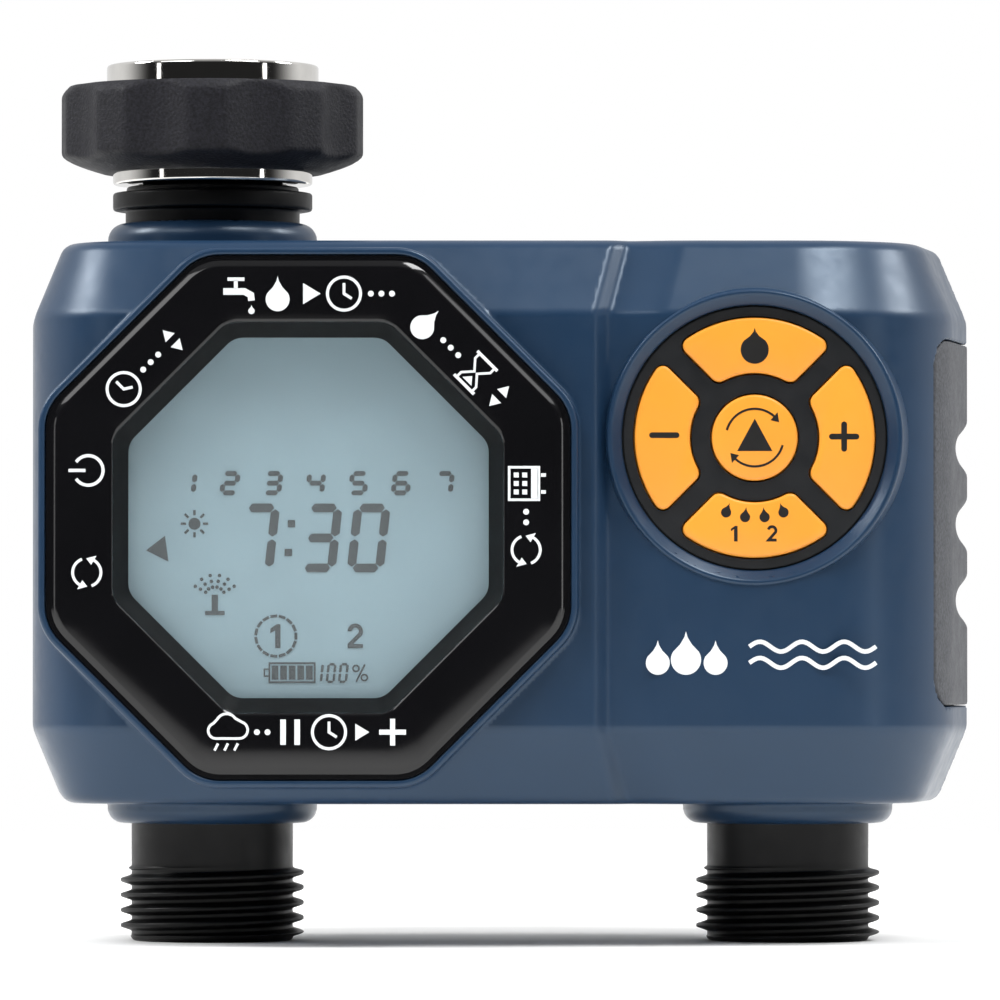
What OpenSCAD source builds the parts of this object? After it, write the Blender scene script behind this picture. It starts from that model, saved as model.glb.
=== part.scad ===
// Two-zone hose tap irrigation timer: a clamshell case holding a display, a keypad, a battery
// drawer and a water manifold with two latching diaphragm valves.
// Millimetres, +Z up, front towards -Y. The origin is on the ground plane, under the middle of the case.

/* [Case] */
// Width of the case at its parting line
case_w = 137; // [135:0.5:140]
// Height of the case without its collars
case_h = 80.6; // [80:0.1:83]
// Height of the case's underside above the ends of the outlets
case_base = 20.4; // [19:0.1:21]
// Overall depth, from the display bezel to the back
depth = 70; // [70:0.5:74]
// How far the display pod stands out of the front face
pod_rise = 3.5; // [3:0.1:4]
// Wall thickness of the two case halves
wall = 2.2; // [1.8:0.1:2.6]
// Height of the sloping bands along the top and bottom
slope_h = 10.6; // [9:0.1:12]
// How far those bands fall back at the front and rear
slope_in = 6; // [4:0.5:8]

/* [Water] */
// Distance from the centre to the inlet and to each outlet
port_x = 42.1; // [41:0.1:43]
// Distance of the water axis behind the middle of the case
port_y = 5; // [4:0.5:6]
// Thread crest radius of the outlets, 3/4 inch garden hose thread
male_r = 13.4; // [13.3:0.05:13.5]
// Thread root radius of the outlets
male_root_r = 11.8; // [11.6:0.1:12]
// Thread crest radius inside the inlet nut
female_r = 12.4; // [12.3:0.05:12.5]
// Distance between two threads, 11.5 to the inch
pitch = 2.209; // [2.2:0.001:2.22]

/* [Display] */
// Distance of the display from the middle of the case
display_x = -27.2; // [-28:0.1:-27]
// Height of the display's centre above the middle of the case
display_rise = 0.5; // [0:0.1:1]
// Width of the display pod between opposite flats
pod_af = 76.5; // [76:0.5:77]
// Width of the visible part of the display between opposite flats
view_af = 51.5; // [50:0.1:54]

/* [Keypad] */
// Distance of the keypad from the middle of the case
keys_x = 36.2; // [36:0.1:37]
// Height of the keypad's centre
keys_z = 72.6; // [72:0.1:73]
// Radius of the keypad opening
keys_r = 18.9; // [18.5:0.1:19.5]
// How far a button can be pressed
key_travel = 0.7; // [0.5:0.1:0.8]

/* [Battery drawer] */
// Height of the drawer's grip
grip_h = 52.5; // [51:0.5:54]
// Radius of one battery cell
cell_r = 7.2; // [7:0.05:7.25]
// Length of one battery cell with its button
cell_l = 50.5; // [50:0.1:50.5]

/* [Hidden] */
$fn = 64;

// Colours
navy = "#2b4263";
black = "#191a1d";
charcoal = "#55565a";
orange = "#f9ab3c";
steel = "#b9bcc0";

// Case levels
pod_y = -depth / 2;
rear_y = depth / 2;
front_y = pod_y + pod_rise;
case_top = case_base + case_h;
mid_z = case_base + case_h / 2;
half_w = case_w / 2;
side_in = 4.5;
seam = 0.3;
gap = 0.3;
far = 200;

// Display levels, counted back from the bezel's face
display_z = mid_z + display_rise;
bezel_back_y = pod_y + 4;
window_y = bezel_back_y + 1.4;
gasket_y = window_y + 0.8;
lcd_y = gasket_y + 0.4;
lcd_back_y = lcd_y + 2;
board_y = pod_y + 12.2;
board_t = 1.6;
bezel_af = pod_af - 2;
lens_af = 61.4;
ink_t = 0.1;

// Keypad levels
web_y = front_y + 1.2;
web_t = 1.9;
cap_y = web_y - 0.7;
spoke = 3.3;
pocket_r = keys_r + 1.7;
cap_inner_r = 9.2;
cap_outer_r = 17.05;
select_r = 6.1;
switch_h = 1.5;

// Battery drawer levels
cells = 3;
cell_step = 15.3;
cell_y = -10.4;
tray_x0 = 2;
plug_x = 59.2;
cell_x = tray_x0 + 2;
grip_y0 = -19.8;
grip_y1 = 22;
notch_step = 11.1;
notch_r = 2.5;
notch_depth = 1.95;
bay_h = 50.7;
bay_y0 = cell_y - 9.2;
bay_y1 = cell_y + 10;

// Coupling levels, from the top of the case upwards
collar_r = 15.3;
collar_top = case_top + 3.8;
neck_r = 12.75;
flange_z = collar_top + 1.6;
nut_z = flange_z + 4.1;
lip_z = nut_z + 1.4;
seat_z = nut_z + 3.6;
coupling_top = nut_z + 17.5;
thread_z = coupling_top - 1.1 - 4 * pitch;
grip_z = nut_z + 1.7;
grip_top = nut_z + 14.3;
lobes = 9;

// Outlet levels
collar_bottom = case_base - 3.2;
male_top = 10.8;
passage_r = 8.5;

// Valve levels, from the seat upwards
valve_y = port_y + 9;
chamber_z = 33.2;
seat_top = 46;
cup_top = 50;
bonnet_z = 51.2;
bonnet_top = 56;
coil_z = 58;
coil_h = 16;
tube_top = 77.5;
lift = 2;
plunger_r = 2.95;

screw_spots = [[-60.5, 92.5], [60.5, 92.5], [-60.5, 29.5], [60.5, 29.5], [0, 26.5]];

// ---------- helpers ----------

// Extrudes a drawing of (x, z) from y0 to y1
module along_y(y0, y1) translate([0, y1, 0]) rotate([90, 0, 0]) linear_extrude(y1 - y0) children();

// Extrudes a drawing of (y, z) from x0 to x1
module along_x(x0, x1) translate([x0, 0, 0]) rotate([90, 0, 90]) linear_extrude(x1 - x0) children();

// A cylinder along Y
module rod_y(x, z, y0, y1, r) translate([x, y1, z]) rotate([90, 0, 0]) cylinder(h = y1 - y0, r = r);

// A cylinder along Z
module rod_z(x, y, z0, z1, r) translate([x, y, z0]) cylinder(h = z1 - z0, r = r);

// A cylinder along X
module rod_x(x0, x1, y, z, r) translate([x0, y, z]) rotate([0, 90, 0]) cylinder(h = x1 - x0, r = r);

// A box given by its lowest and highest corners
module box(low, high) translate(low) cube(high - low);

// A ring with a rectangular section, standing on z0
module ring_z(x, y, z0, z1, r_out, r_in) difference() {
    rod_z(x, y, z0, z1, r_out);
    rod_z(x, y, z0 - 1, z1 + 1, r_in);
}

function unit(v) = v / norm(v);

// The points of an arc of radius r that rounds corner p between its neighbours a and b
function fillet(a, p, b, r, n) =
    let (u = unit(a - p), v = unit(b - p), half = acos(u * v) / 2,
         c = p + unit(u + v) * r / sin(half),
         t1 = p + u * r / tan(half), t2 = p + v * r / tan(half),
         a0 = atan2(t1.y - c.y, t1.x - c.x),
         raw = atan2(t2.y - c.y, t2.x - c.x) - a0,
         turn = raw > 180 ? raw - 360 : raw < -180 ? raw + 360 : raw)
    [for (i = [0:n]) c + r * [cos(a0 + turn * i / n), sin(a0 + turn * i / n)]];

// A polygon with its corners rounded, each by its own radius
function rounded(pts, radii, n = 5) = let (k = len(pts)) [
    for (i = [0:k - 1]) each fillet(pts[(i + k - 1) % k], pts[i], pts[(i + 1) % k], radii[i], n)];

// A regular octagon with flats af apart and corners rounded by r
function octagon(af, r, n = 5) = [
    for (i = [0:7]) let (c = (af / 2 - r) / cos(22.5) * [cos(22.5 + 45 * i), sin(22.5 + 45 * i)])
        for (j = [0:n]) let (a = 45 * i + 45 * j / n) c + r * [cos(a), sin(a)]];

// An octagonal plate on the display's centre line
module display_plate(af, y0, y1, r = 3)
    translate([display_x, 0, display_z]) along_y(y0, y1) polygon(octagon(af, r));

// ---------- case ----------

// The case seen from above: tapered towards the front, with a shallow groove between its two blocks
function plan(t) = rounded(
    [[-half_w + 2.5 + t, front_y + t], [12.5, front_y + t], [15.5, front_y + 1.8 + t],
     [21.5, front_y + t], [half_w - 6.5 - t, front_y + t], [half_w - t, port_y],
     [half_w - 4.5 - t, rear_y - t], [-half_w + 4.5 + t, rear_y - t], [-half_w + t, port_y]],
    [20 - t, 2.5, 1.5, 6, 24 - t, 6, 8, 8, 6], 10);

// The case seen from the side, with its sloping bands
function side(t) = let (low = case_base + t, high = case_top - t, f = front_y + t, b = rear_y - t)
    rounded([[f, case_base + slope_h], [f, case_top - slope_h], [f + slope_in, high],
        [b - slope_in, high], [b, case_top - slope_h], [b, case_base + slope_h],
        [b - slope_in, low], [f + slope_in, low]], [5, 5, 2, 2, 5, 5, 2, 2]);

// The case seen from the front
function elevation(t) = let (w = half_w - t, low = case_base + t, high = case_top - t)
    rounded([[-w, case_base + slope_h], [-w, case_top - slope_h], [-w + side_in, high],
        [w - side_in, high], [w, case_top - slope_h], [w, case_base + slope_h],
        [w - side_in, low], [-w + side_in, low]], [6, 6, 3, 3, 6, 6, 3, 3]);

// The solid case, taken in by t all round
module case_block(t) intersection() {
    linear_extrude(far) polygon(plan(t));
    along_x(-far / 2, far / 2) polygon(side(t));
    along_y(-far / 2, far / 2) polygon(elevation(t));
}

// Where the drawer's grip passes through the side of the case
module grip_window(t) along_x(plug_x - 1, far)
    polygon(rounded([[grip_y0 + t, mid_z - grip_h / 2 + t], [grip_y1 - t, mid_z - grip_h / 2 + t],
        [grip_y1 - t, mid_z + grip_h / 2 - t], [grip_y0 + t, mid_z + grip_h / 2 - t]],
        [4.5, 4.5, 4.5, 4.5]));

// A collar round a port, from z0 to z1, rounded at its free end
module collar(x, z0, z1, up) {
    edge = 1.6;
    translate([x, port_y, up ? z0 : z1]) mirror([0, 0, up ? 0 : 1]) rotate_extrude() union() {
        square([collar_r, z1 - z0 - edge]);
        square([collar_r - edge, z1 - z0]);
        translate([collar_r - edge, z1 - z0 - edge]) circle(r = edge);
    }
}

module collars() {
    collar(-port_x, case_top - 4, collar_top, true);
    for (x = [-port_x, port_x]) collar(x, collar_bottom, case_base + 4, false);
}

// The holes that the tailpiece and the outlets pass through
module port_holes() {
    rod_z(-port_x, port_y, case_top - 5, far, neck_r + 0.15);
    for (x = [-port_x, port_x]) rod_z(x, port_y, 0, case_base + 5, male_root_r + 0.2);
}

module half_space(y0, y1) box([-far / 2, y0, -far / 2], [far / 2, y1, far]);

module bosses(y0, y1, r) for (s = screw_spots) rod_y(s.x, s.y, y0, y1, r);

// A flat-topped boss that carries the keypad where the front face curves away
module keypad_boss() translate([keys_x, front_y + 9, keys_z]) rotate([90, 0, 0])
    cylinder(h = 9.3, r1 = keys_r + 3.8, r2 = keys_r + 2.2);

module front_cover() color(navy) {
    plate_y = bezel_back_y - 0.9;
    difference() {
        union() {
            difference() {
                union() {
                    case_block(0);
                    display_plate(pod_af, pod_y + 0.4, front_y + 7, 8);
                    collars();
                    keypad_boss();
                }
                case_block(wall);
                display_plate(pod_af - 4.4, pod_y - 1, front_y + 11, 6);
                rod_y(keys_x, keys_z, front_y + wall, front_y + 12, pocket_r);
            }
            display_plate(pod_af - 4, plate_y, plate_y + wall, 6);
            intersection() {
                bosses(front_y + 1, port_y, 3.8);
                case_block(1);
            }
        }
        half_space(port_y - seam, far);
        display_plate(bezel_af + 0.4, pod_y - 1, pod_y + 2, 7.2);
        display_plate(lens_af + 0.6, pod_y - 1, plate_y + wall + 1);
        bosses(-14, far, 1.2);
        rod_y(keys_x, keys_z, front_y - 1, front_y + wall + 1, keys_r);
        translate([keys_x, front_y + 1, keys_z]) rotate([90, 0, 0])
            cylinder(h = 1.6, r1 = keys_r, r2 = keys_r + 2.2);
        grip_window(-gap);
        port_holes();
    }
}

module rear_cover() color(navy) difference() {
    union() {
        difference() {
            union() {
                case_block(0);
                collars();
            }
            case_block(wall);
        }
        intersection() {
            bosses(port_y, rear_y - 1, 4.2);
            case_block(1);
        }
        // Pads that steady the manifold's chambers
        for (x = [-port_x, port_x]) box([x - 5, rear_y - 7, 36], [x + 5, rear_y - 1, 46]);
    }
    half_space(-far, port_y);
    bosses(0, far, 1.7);
    bosses(rear_y - 7, far, 3.2);
    grip_window(-gap);
    port_holes();
}

// A strip of foam rubber inside the seam, left out where the drawer passes
module case_seal() color(black) difference() {
    along_y(port_y - 1.5, port_y + 1.5) difference() {
        polygon(elevation(wall + 0.45));
        polygon(elevation(wall + 1.6));
    }
    grip_window(-2);
    bosses(-far / 2, far / 2, 4.6);
    rod_z(-port_x, port_y, case_top - 6, far, collar_r + 0.5);
    for (x = [-port_x, port_x]) rod_z(x, port_y, 0, case_base + 6, collar_r + 0.5);
}

module case_screws() color(steel) for (s = screw_spots) difference() {
    union() {
        rod_y(s.x, s.y, -9, rear_y - 7, 1.15);
        rod_y(s.x, s.y, rear_y - 7, rear_y - 5.2, 2.8);
    }
    for (a = [0, 90]) translate([s.x, rear_y - 5.2, s.y]) rotate([0, a, 0])
        cube([3.4, 2, 0.7], center = true);
}

// ---------- display ----------

module display_bezel() color(black) difference() {
    union() {
        display_plate(bezel_af, pod_y + 0.5, pod_y + 2, 7);
        display_plate(bezel_af - 1.6, pod_y, pod_y + 2, 6.6);
        display_plate(pod_af - 5, pod_y + 1, bezel_back_y - 0.9, 5.8);
        display_plate(lens_af, pod_y + 1, bezel_back_y);
    }
    // The sloping walls of the window
    translate([display_x, bezel_back_y + 0.01, display_z]) rotate([90, 0, 0])
        linear_extrude(4.1, scale = 1.076) polygon(octagon(view_af, 3.2));
}

module display_window() color("#cfe0e4", 0.35) display_plate(lens_af, bezel_back_y, window_y);

module window_gasket() color(charcoal) difference() {
    display_plate(lens_af, window_y, gasket_y);
    display_plate(view_af + 2, window_y - 1, gasket_y + 1);
}

module lcd_panel() color("#9db5bb") display_plate(lens_af - 1.4, lcd_y, lcd_back_y);

module lcd_frame() color(charcoal) difference() {
    display_plate(lens_af + 6, gasket_y, board_y);
    display_plate(view_af + 3, gasket_y - 1, board_y + 1);
    display_plate(lens_af - 1, lcd_y, board_y + 1);
}

// Rubber strips that join the glass to the board
module contact_strips() color("#d9d4cf") for (s = [-1, 1]) translate([display_x, 0, display_z + s * 26])
    box([-14, lcd_back_y, -1], [14, board_y, 1]);

// One bar of a seven-bar digit, from a to b, with pointed ends
module bar(a, b, w) {
    d = unit(b - a) * w / 2;
    n = [-d.y, d.x];
    polygon([a + d * 0.3, a + d + n, b - d + n, b - d * 0.3, b - d - n, a + d - n]);
}

// A seven-bar digit, leaning to the right. bars lists those that show
module digit(bars, w, h, t) multmatrix([[1, 0.11, 0, 0], [0, 1, 0, 0]]) {
    p = [[0, 0], [w, 0], [0, h / 2], [w, h / 2], [0, h], [w, h]];
    ends = [[4, 5], [2, 4], [3, 5], [2, 3], [0, 2], [1, 3], [0, 1]];
    for (i = bars) bar(p[ends[i][0]], p[ends[i][1]], t);
}

// The bars of the digits 0 to 9, top to bottom
DIGITS = [[0, 1, 2, 4, 5, 6], [2, 5], [0, 2, 3, 4, 6], [0, 2, 3, 5, 6], [1, 2, 3, 5],
    [0, 1, 3, 5, 6], [0, 1, 3, 4, 5, 6], [0, 2, 5], [0, 1, 2, 3, 4, 5, 6], [0, 1, 2, 3, 5, 6]];

// A row of small digits for the days
module day_row() for (i = [1:7]) translate([(i - 4) * 6.1, 0]) digit(DIGITS[i], 2, 2.75, 0.7);

// A small sun: a disc with rays
module sun_mark() {
    circle(r = 0.85);
    for (a = [0:45:315]) rotate(a) translate([1.2, -0.18]) square([0.75, 0.36]);
}

// A spray head: a post with three arcs of drops
module spray_mark() {
    translate([-0.45, -2]) square([0.9, 2.4]);
    translate([-1.4, -2.5]) square([2.8, 0.6]);
    for (r = [1.5:0.85:3.2]) for (a = [30:24:150]) translate([r * cos(a), r * sin(a)]) circle(r = 0.26);
}

// A battery seen from the side, full
module battery_mark() {
    difference() {
        union() {
            translate([-3.35, -1.48]) square([6.7, 2.96]);
            translate([-4.05, -0.6]) square([0.75, 1.2]);
        }
        translate([-3.1, -1.23]) square([6.2, 2.46]);
        translate([-3.83, -0.38]) square([0.48, 0.76]);
    }
    for (i = [0:4]) translate([-2.9 + 1.22 * i, -1]) square([0.95, 2]);
}

module percent_mark() {
    for (s = [-1, 1]) translate([0.6 * s, -0.65 * s]) difference() {
        circle(r = 0.55);
        circle(r = 0.3);
    }
    bar([-0.6, -1.3], [0.7, 1.3], 0.26);
}

// A ring of dashes
module dashed_ring(r, t) for (a = [0:24:336]) rotate(a) translate([r, 0])
    square([t, r * 0.35], center = true);

// A plain figure two: three quarters of a ring, a slanted stroke and a foot
module two_mark() {
    translate([0, 2.4]) difference() {
        circle(r = 1.1);
        circle(r = 0.5);
        polygon([[0, 0], [-2, 0], [-2, -2], [2, -2]]);
    }
    polygon([[-1.1, 0], [1.1, 0], [1.1, 0.58], [-0.28, 0.58], [0.9, 1.77], [0.41, 2.11], [-1.1, 0.6]]);
}

module lcd_segments() color("#4a4d4f") translate([display_x, 0, display_z]) along_y(lcd_y - ink_t, lcd_y) {
    translate([-0.2, 3.6]) day_row();
    // The time
    translate([-9.7, -7.1]) digit(DIGITS[7], 4, 8.55, 1.25);
    translate([-0.8, -7.1]) digit(DIGITS[3], 4, 8.55, 1.25);
    translate([6.05, -7.1]) digit(DIGITS[0], 4, 8.55, 1.25);
    for (z = [-4.9, -0.8]) translate([-2.4 + 0.11 * z, z]) square(1.05, center = true);
    translate([-16.3, -0.8]) sun_mark();
    // The pointer to the chosen setting
    translate([-21.3, -4.6]) polygon([[-1.9, 0], [0.8, 2.1], [1.3, -1.6]]);
    translate([-13.4, -11.3]) spray_mark();
    // The two zones, the first one ringed
    translate([-4.7, -16.8]) dashed_ring(2.85, 0.42);
    translate([-4.7, -18.5]) polygon([[-0.1, 0], [0.65, 0], [0.65, 3.4], [0.1, 3.4], [-0.8, 2.75],
        [-0.8, 2.1], [-0.1, 2.5]]);
    translate([6.6, -18.5]) two_mark();
    translate([-2.4, -22]) battery_mark();
    translate([0.85, -23.3]) digit(DIGITS[1], 0.85, 2.5, 0.36);
    for (x = [2.55, 4.3]) translate([x, -23.3]) digit(DIGITS[0], 0.95, 2.5, 0.36);
    translate([7.3, -22.05]) percent_mark();
}

// ---------- electronics ----------

module main_board() color("#1f6b3a") difference() {
    along_y(board_y, board_y + board_t) polygon(rounded(
        [[-58, 27], [55.5, 27], [55.5, 95], [-58, 95]], [4, 4, 4, 4]));
    bosses(-far / 2, far / 2, 4.6);
}

module board_components() color(black) {
    back = board_y + board_t;
    box([-36, back, 56], [-20, back + 1.6, 72]);
    box([-48, back, 60], [-41, back + 1.4, 66]);
    for (z = [44, 52]) rod_y(-12, z, back, back + 5.2, 3);
    for (i = [0:3]) box([-52 + 5 * i, back, 40], [-49 + 5 * i, back + 1, 42]);
    box([-12, back, 66], [-2, back + 4.8, 72]);
}

// Where each button's post meets the board
function key_spot(i) = i == 4 ? [keys_x, keys_z] :
    [keys_x + 13.2 * cos(90 - 90 * i), keys_z + 13.2 * sin(90 - 90 * i)];

module tact_switches() color(charcoal) for (i = [0:4]) let (p = key_spot(i)) {
    box([p.x - 2.6, board_y - 0.9, p.y - 2.6], [p.x + 2.6, board_y, p.y + 2.6]);
    rod_y(p.x, p.y, board_y - switch_h, board_y - 0.9, 1.7);
}

// A button's outline seen from the front, grown by g, upwards of the keypad's centre
module key_outline(g) offset(r = 1.3 + g) offset(delta = -1.3) intersection() {
    difference() {
        circle(r = cap_outer_r, $fn = 96);
        circle(r = cap_inner_r, $fn = 72);
    }
    polygon([[0, spoke / sqrt(2)], [20, 20 + spoke / sqrt(2)], [-20, 20 + spoke / sqrt(2)]]);
}

module keypad_surround() color("#1d2b3d") translate([keys_x, 0, keys_z]) difference() {
    union() {
        rod_y(0, 0, web_y, web_y + web_t, keys_r - gap);
        rod_y(0, 0, front_y + wall + 0.05, web_y + web_t, pocket_r - 0.2);
    }
    for (i = [0:3]) rotate([0, 90 * i, 0]) along_y(-far / 2, far / 2) key_outline(0.25);
    rod_y(0, 0, -far / 2, far / 2, select_r + 0.25);
}

module keypad_seal() color(black) difference() {
    rod_y(keys_x, keys_z, board_y - 3.8, board_y - 3, pocket_r - 0.2);
    for (i = [0:4]) let (p = key_spot(i)) rod_y(p.x, p.y, -far / 2, far / 2, 2.6);
}

// The parts that all buttons share: a cap through the surround, a flange behind it and a post
module button(i) {
    back = web_y + web_t + 0.1;
    p = key_spot(i);
    color(orange) {
        translate([keys_x, 0, keys_z]) rotate([0, i == 4 ? 0 : 90 * i, 0]) {
            along_y(cap_y, back + 0.1) if (i == 4) circle(r = select_r); else key_outline(0);
            along_y(back, back + 0.8) if (i == 4) circle(r = select_r + 0.9); else key_outline(0.8);
        }
        rod_y(p.x, p.y, back, board_y - switch_h - key_travel - 0.2, 2.2);
    }
}

// The dry box that closes off the electronics from behind
module control_box() color(charcoal) difference() {
    y0 = board_y + board_t + 0.7;
    box([-56, y0, 31.5], [-1, y0 + 8.5, 79]);
    box([-54.5, y0 - 1, 33], [-2, y0 + 7, 77.5]);
    for (p = lead_spots) rod_y(p.x, p.y, y0, 0, 0.9);
}

// Where the valves' wires plug into the board: x and z of each wire
lead_spots = [[-3, 68], [-5, 68], [-5, 70], [-7, 70]];

// Insulated wires along a path of points, with a bead at each bend
module wire(points, r) for (i = [0:len(points) - 2]) {
    a = points[i];
    d = points[i + 1] - a;
    translate(a) rotate([0, acos(d.z / norm(d)), atan2(d.y, d.x)])
        cylinder(h = norm(d), r = r, $fn = 16);
    if (i > 0) translate(a) sphere(r = r + 0.08, $fn = 16);
}

module solenoid_leads() color("#b5372c") for (s = [-1, 1]) for (k = [0, 1])
    let (x = 4 * k, x0 = s - 4 - 2 * k)
    wire([[s * port_x - 3 + x, valve_y - 8.5, 63 + x / 2], [s * port_x - 3 + x, 0.8, 63 + x / 2],
        [x0, 0.8, 68 + x / 2], [x0, board_y + board_t + 5.6, 68 + x / 2]], 0.7);

// ---------- battery drawer ----------

module battery_bay() color(charcoal) difference() {
    box([tray_x0 - 2.2, bay_y0, mid_z - bay_h / 2], [plug_x, bay_y1, mid_z + bay_h / 2]);
    box([tray_x0 - 1, bay_y0 + 1.2, mid_z - bay_h / 2 + 1.2],
        [far, bay_y1 - 1.2, mid_z + bay_h / 2 - 1.2]);
}

// A trough with round cradles for the cells, open to the front
module battery_tray() color("#3a3c40") {
    z = bay_h / 2 - 1.6;
    difference() {
        box([tray_x0, bay_y0 + 1.6, mid_z - z], [plug_x, bay_y1 - 1.6, mid_z + z]);
        box([tray_x0 + 1.2, bay_y0, mid_z - z + 1], [plug_x - 1.5, cell_y + 2, mid_z + z - 1]);
        for (i = [0:cells - 1])
            rod_x(tray_x0 + 1.2, plug_x - 1.5, cell_y, mid_z + (i - 1) * cell_step, cell_r + 0.25);
    }
}

module tray_grip() color(charcoal) difference() {
    intersection() {
        case_block(0);
        grip_window(0);
        box([plug_x, -far / 2, 0], [far, far / 2, far]);
    }
    for (i = [-1:1]) translate([half_w - notch_depth, 0, mid_z + i * notch_step]) {
        rod_y(notch_r, 0, -far / 2, far / 2, notch_r);
        along_y(-far / 2, far / 2) polygon([[0.9, -2.1], [0.9, 2.1], [3.5, 5], [3.5, -5]]);
    }
}

module tray_seal() color(black) {
    z = bay_h / 2 - 1.4;
    difference() {
        box([plug_x - 4, bay_y0 + 1.4, mid_z - z], [plug_x - 2, bay_y1 - 1.4, mid_z + z]);
        box([plug_x - 5, bay_y0 + 1.6, mid_z - z + 0.2], [plug_x, bay_y1 - 1.6, mid_z + z - 0.2]);
    }
}

// One cell. Alternate cells face the other way
module battery(i) {
    flip = i == 1;
    z = mid_z + (i - 1) * cell_step;
    color("#c9962f") translate([cell_x + (flip ? cell_l : 0), cell_y, z]) mirror([flip ? 1 : 0, 0, 0]) {
        rod_x(0, cell_l - 1.2, 0, 0, cell_r - 0.1);
        rod_x(cell_l - 1.3, cell_l, 0, 0, 2.7);
    }
}

module bay_contacts() color("#c8b27a") for (i = [-1:1])
    box([tray_x0 - 1, cell_y - 3, mid_z + i * cell_step - 5],
        [tray_x0 - 0.5, cell_y + 3, mid_z + i * cell_step + 5]);

// Plates at both ends of the cells, held in the drawer
module tray_contacts() color("#c8b27a") for (i = [-1:1]) let (z = mid_z + i * cell_step) {
    box([tray_x0 + 1.2, cell_y - 5, z - 5], [tray_x0 + 1.7, cell_y + 5, z + 5]);
    box([plug_x - 2, cell_y - 5, z - 5], [plug_x - 1.5, cell_y + 5, z + 5]);
    for (s = [0, 1]) rod_x(plug_x - 4.3 + 1.2 * s, plug_x - 3.7 + 1.2 * s, cell_y, z, 3.6 - 0.6 * s);
}

// ---------- inlet coupling ----------

// Thread ridges as rings, with a flat crest: r0 is the root, r1 the crest
module thread_rings(r0, r1, z0, turns) for (i = [0:turns - 1]) translate([0, 0, z0 + pitch * i])
    rotate_extrude() polygon([[r0, -0.95], [r1, -0.25], [r1, 0.25], [r0, 0.95]]);

// The swivel nut: a sleeve with a lip at its foot and a female thread in its mouth
module coupling_nut() color(steel) translate([-port_x, port_y, 0]) {
    difference() {
        union() {
            rod_z(0, 0, nut_z, nut_z + 6, 14.6);
            rod_z(0, 0, nut_z + 5, coupling_top - 0.6, 15.5);
            rod_z(0, 0, nut_z + 5, coupling_top, 15);
        }
        rod_z(0, 0, nut_z - 1, nut_z + 3, 10.7);
        rod_z(0, 0, lip_z, coupling_top + 1, female_r + 1.1);
    }
    // The ridges reach into the wall, so each one is fused to it
    intersection() {
        thread_rings(female_r + 1.3, female_r, thread_z, 5);
        rod_z(0, 0, 0, coupling_top, 14);
    }
}

// The lobed hand grip, moulded on the nut
module coupling_grip() color(black) translate([-port_x, port_y, 0]) difference() {
    r_out = 22.2;
    r_in = 20.9;
    shape = [for (i = [0:lobes - 1]) let (a = 360 / lobes * i - 90) each [
        r_out * [cos(a - 7.1), sin(a - 7.1)], r_out * [cos(a + 7.1), sin(a + 7.1)],
        r_in * [cos(a + 16.6), sin(a + 16.6)], r_in * [cos(a + 23.4), sin(a + 23.4)]]];
    intersection() {
        translate([0, 0, grip_z]) linear_extrude(grip_top - grip_z) polygon(shape);
        rotate_extrude() polygon([[0, grip_z], [17.4, grip_z], [22.5, grip_z + 2.87],
            [22.5, grip_top - 1.5], [21, grip_top], [0, grip_top]]);
    }
    rod_z(0, 0, grip_z - 1, nut_z + 5, 14.6);
    rod_z(0, 0, nut_z + 5, grip_top + 1, 15.5);
}

module inlet_washer() color("#2c2c2c") ring_z(-port_x, port_y, seat_z, seat_z + 2.4, 12.2, 8.6);

// A dished strainer held in the washer: a rim and crossed bars
module filter_screen() color("#d8d4c4") translate([-port_x, port_y, 0]) {
    ring_z(0, 0, seat_z + 0.4, seat_z + 2, 8.5, 7.3);
    intersection() {
        rod_z(0, 0, seat_z + 0.8, seat_z + 1.6, 7.6);
        for (i = [-4:4]) union() {
            box([-8, 1.6 * i - 0.3, seat_z + 0.8], [8, 1.6 * i + 0.3, seat_z + 1.6]);
            box([1.6 * i - 0.3, -8, seat_z + 0.8], [1.6 * i + 0.3, 8, seat_z + 1.6]);
        }
    }
}

// The tube that the nut turns on: its top flange holds the nut, its wide flange shows below it
module inlet_tailpiece() color(black) translate([-port_x, port_y, 0]) difference() {
    union() {
        rod_z(0, 0, 90.1, 96.1, 10);
        rod_z(0, 0, 96, flange_z, neck_r);
        rod_z(0, 0, flange_z + 0.3, flange_z + 2.3, 14.6);
        rod_z(0, 0, flange_z, flange_z + 2.6, 14.3);
        rod_z(0, 0, flange_z + 2, seat_z, 10.2);
        rod_z(0, 0, lip_z + 0.3, seat_z, 12);
    }
    rod_z(0, 0, 80, seat_z + 1, 8);
    ring_z(0, 0, 91.5, 93.5, 11, 8.9);
}

module torus(x, y, z, r, section) translate([x, y, z]) rotate_extrude() translate([r, 0])
    circle(r = section);

module inlet_o_ring() color(black) torus(-port_x, port_y, 92.5, 9.55, 0.6);

// ---------- valves ----------

module outlet_spigot(side) color(black) translate([side * port_x, port_y, 0]) difference() {
    union() {
        rod_z(0, 0, 0, case_base + wall + 0.4, male_root_r);
        rod_z(0, 0, case_base + wall + 0.3, case_base + wall + 2.6, 13.2);
        rod_z(0, 0, case_base + wall + 2.5, 32, 10.2);
        intersection() {
            thread_rings(male_root_r - 0.4, male_r, 1.3, 5);
            rod_z(0, 0, 0, male_top, 14);
        }
    }
    rod_z(0, 0, -1, 33, passage_r);
    ring_z(0, 0, 28, 30, 11, 9.2);
}

module outlet_o_rings() color(black) for (s = [-1, 1]) torus(s * port_x, port_y, 29, 9.8, 0.55);

module at_valves(side) translate([side * port_x, valve_y, 0]) children();

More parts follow.
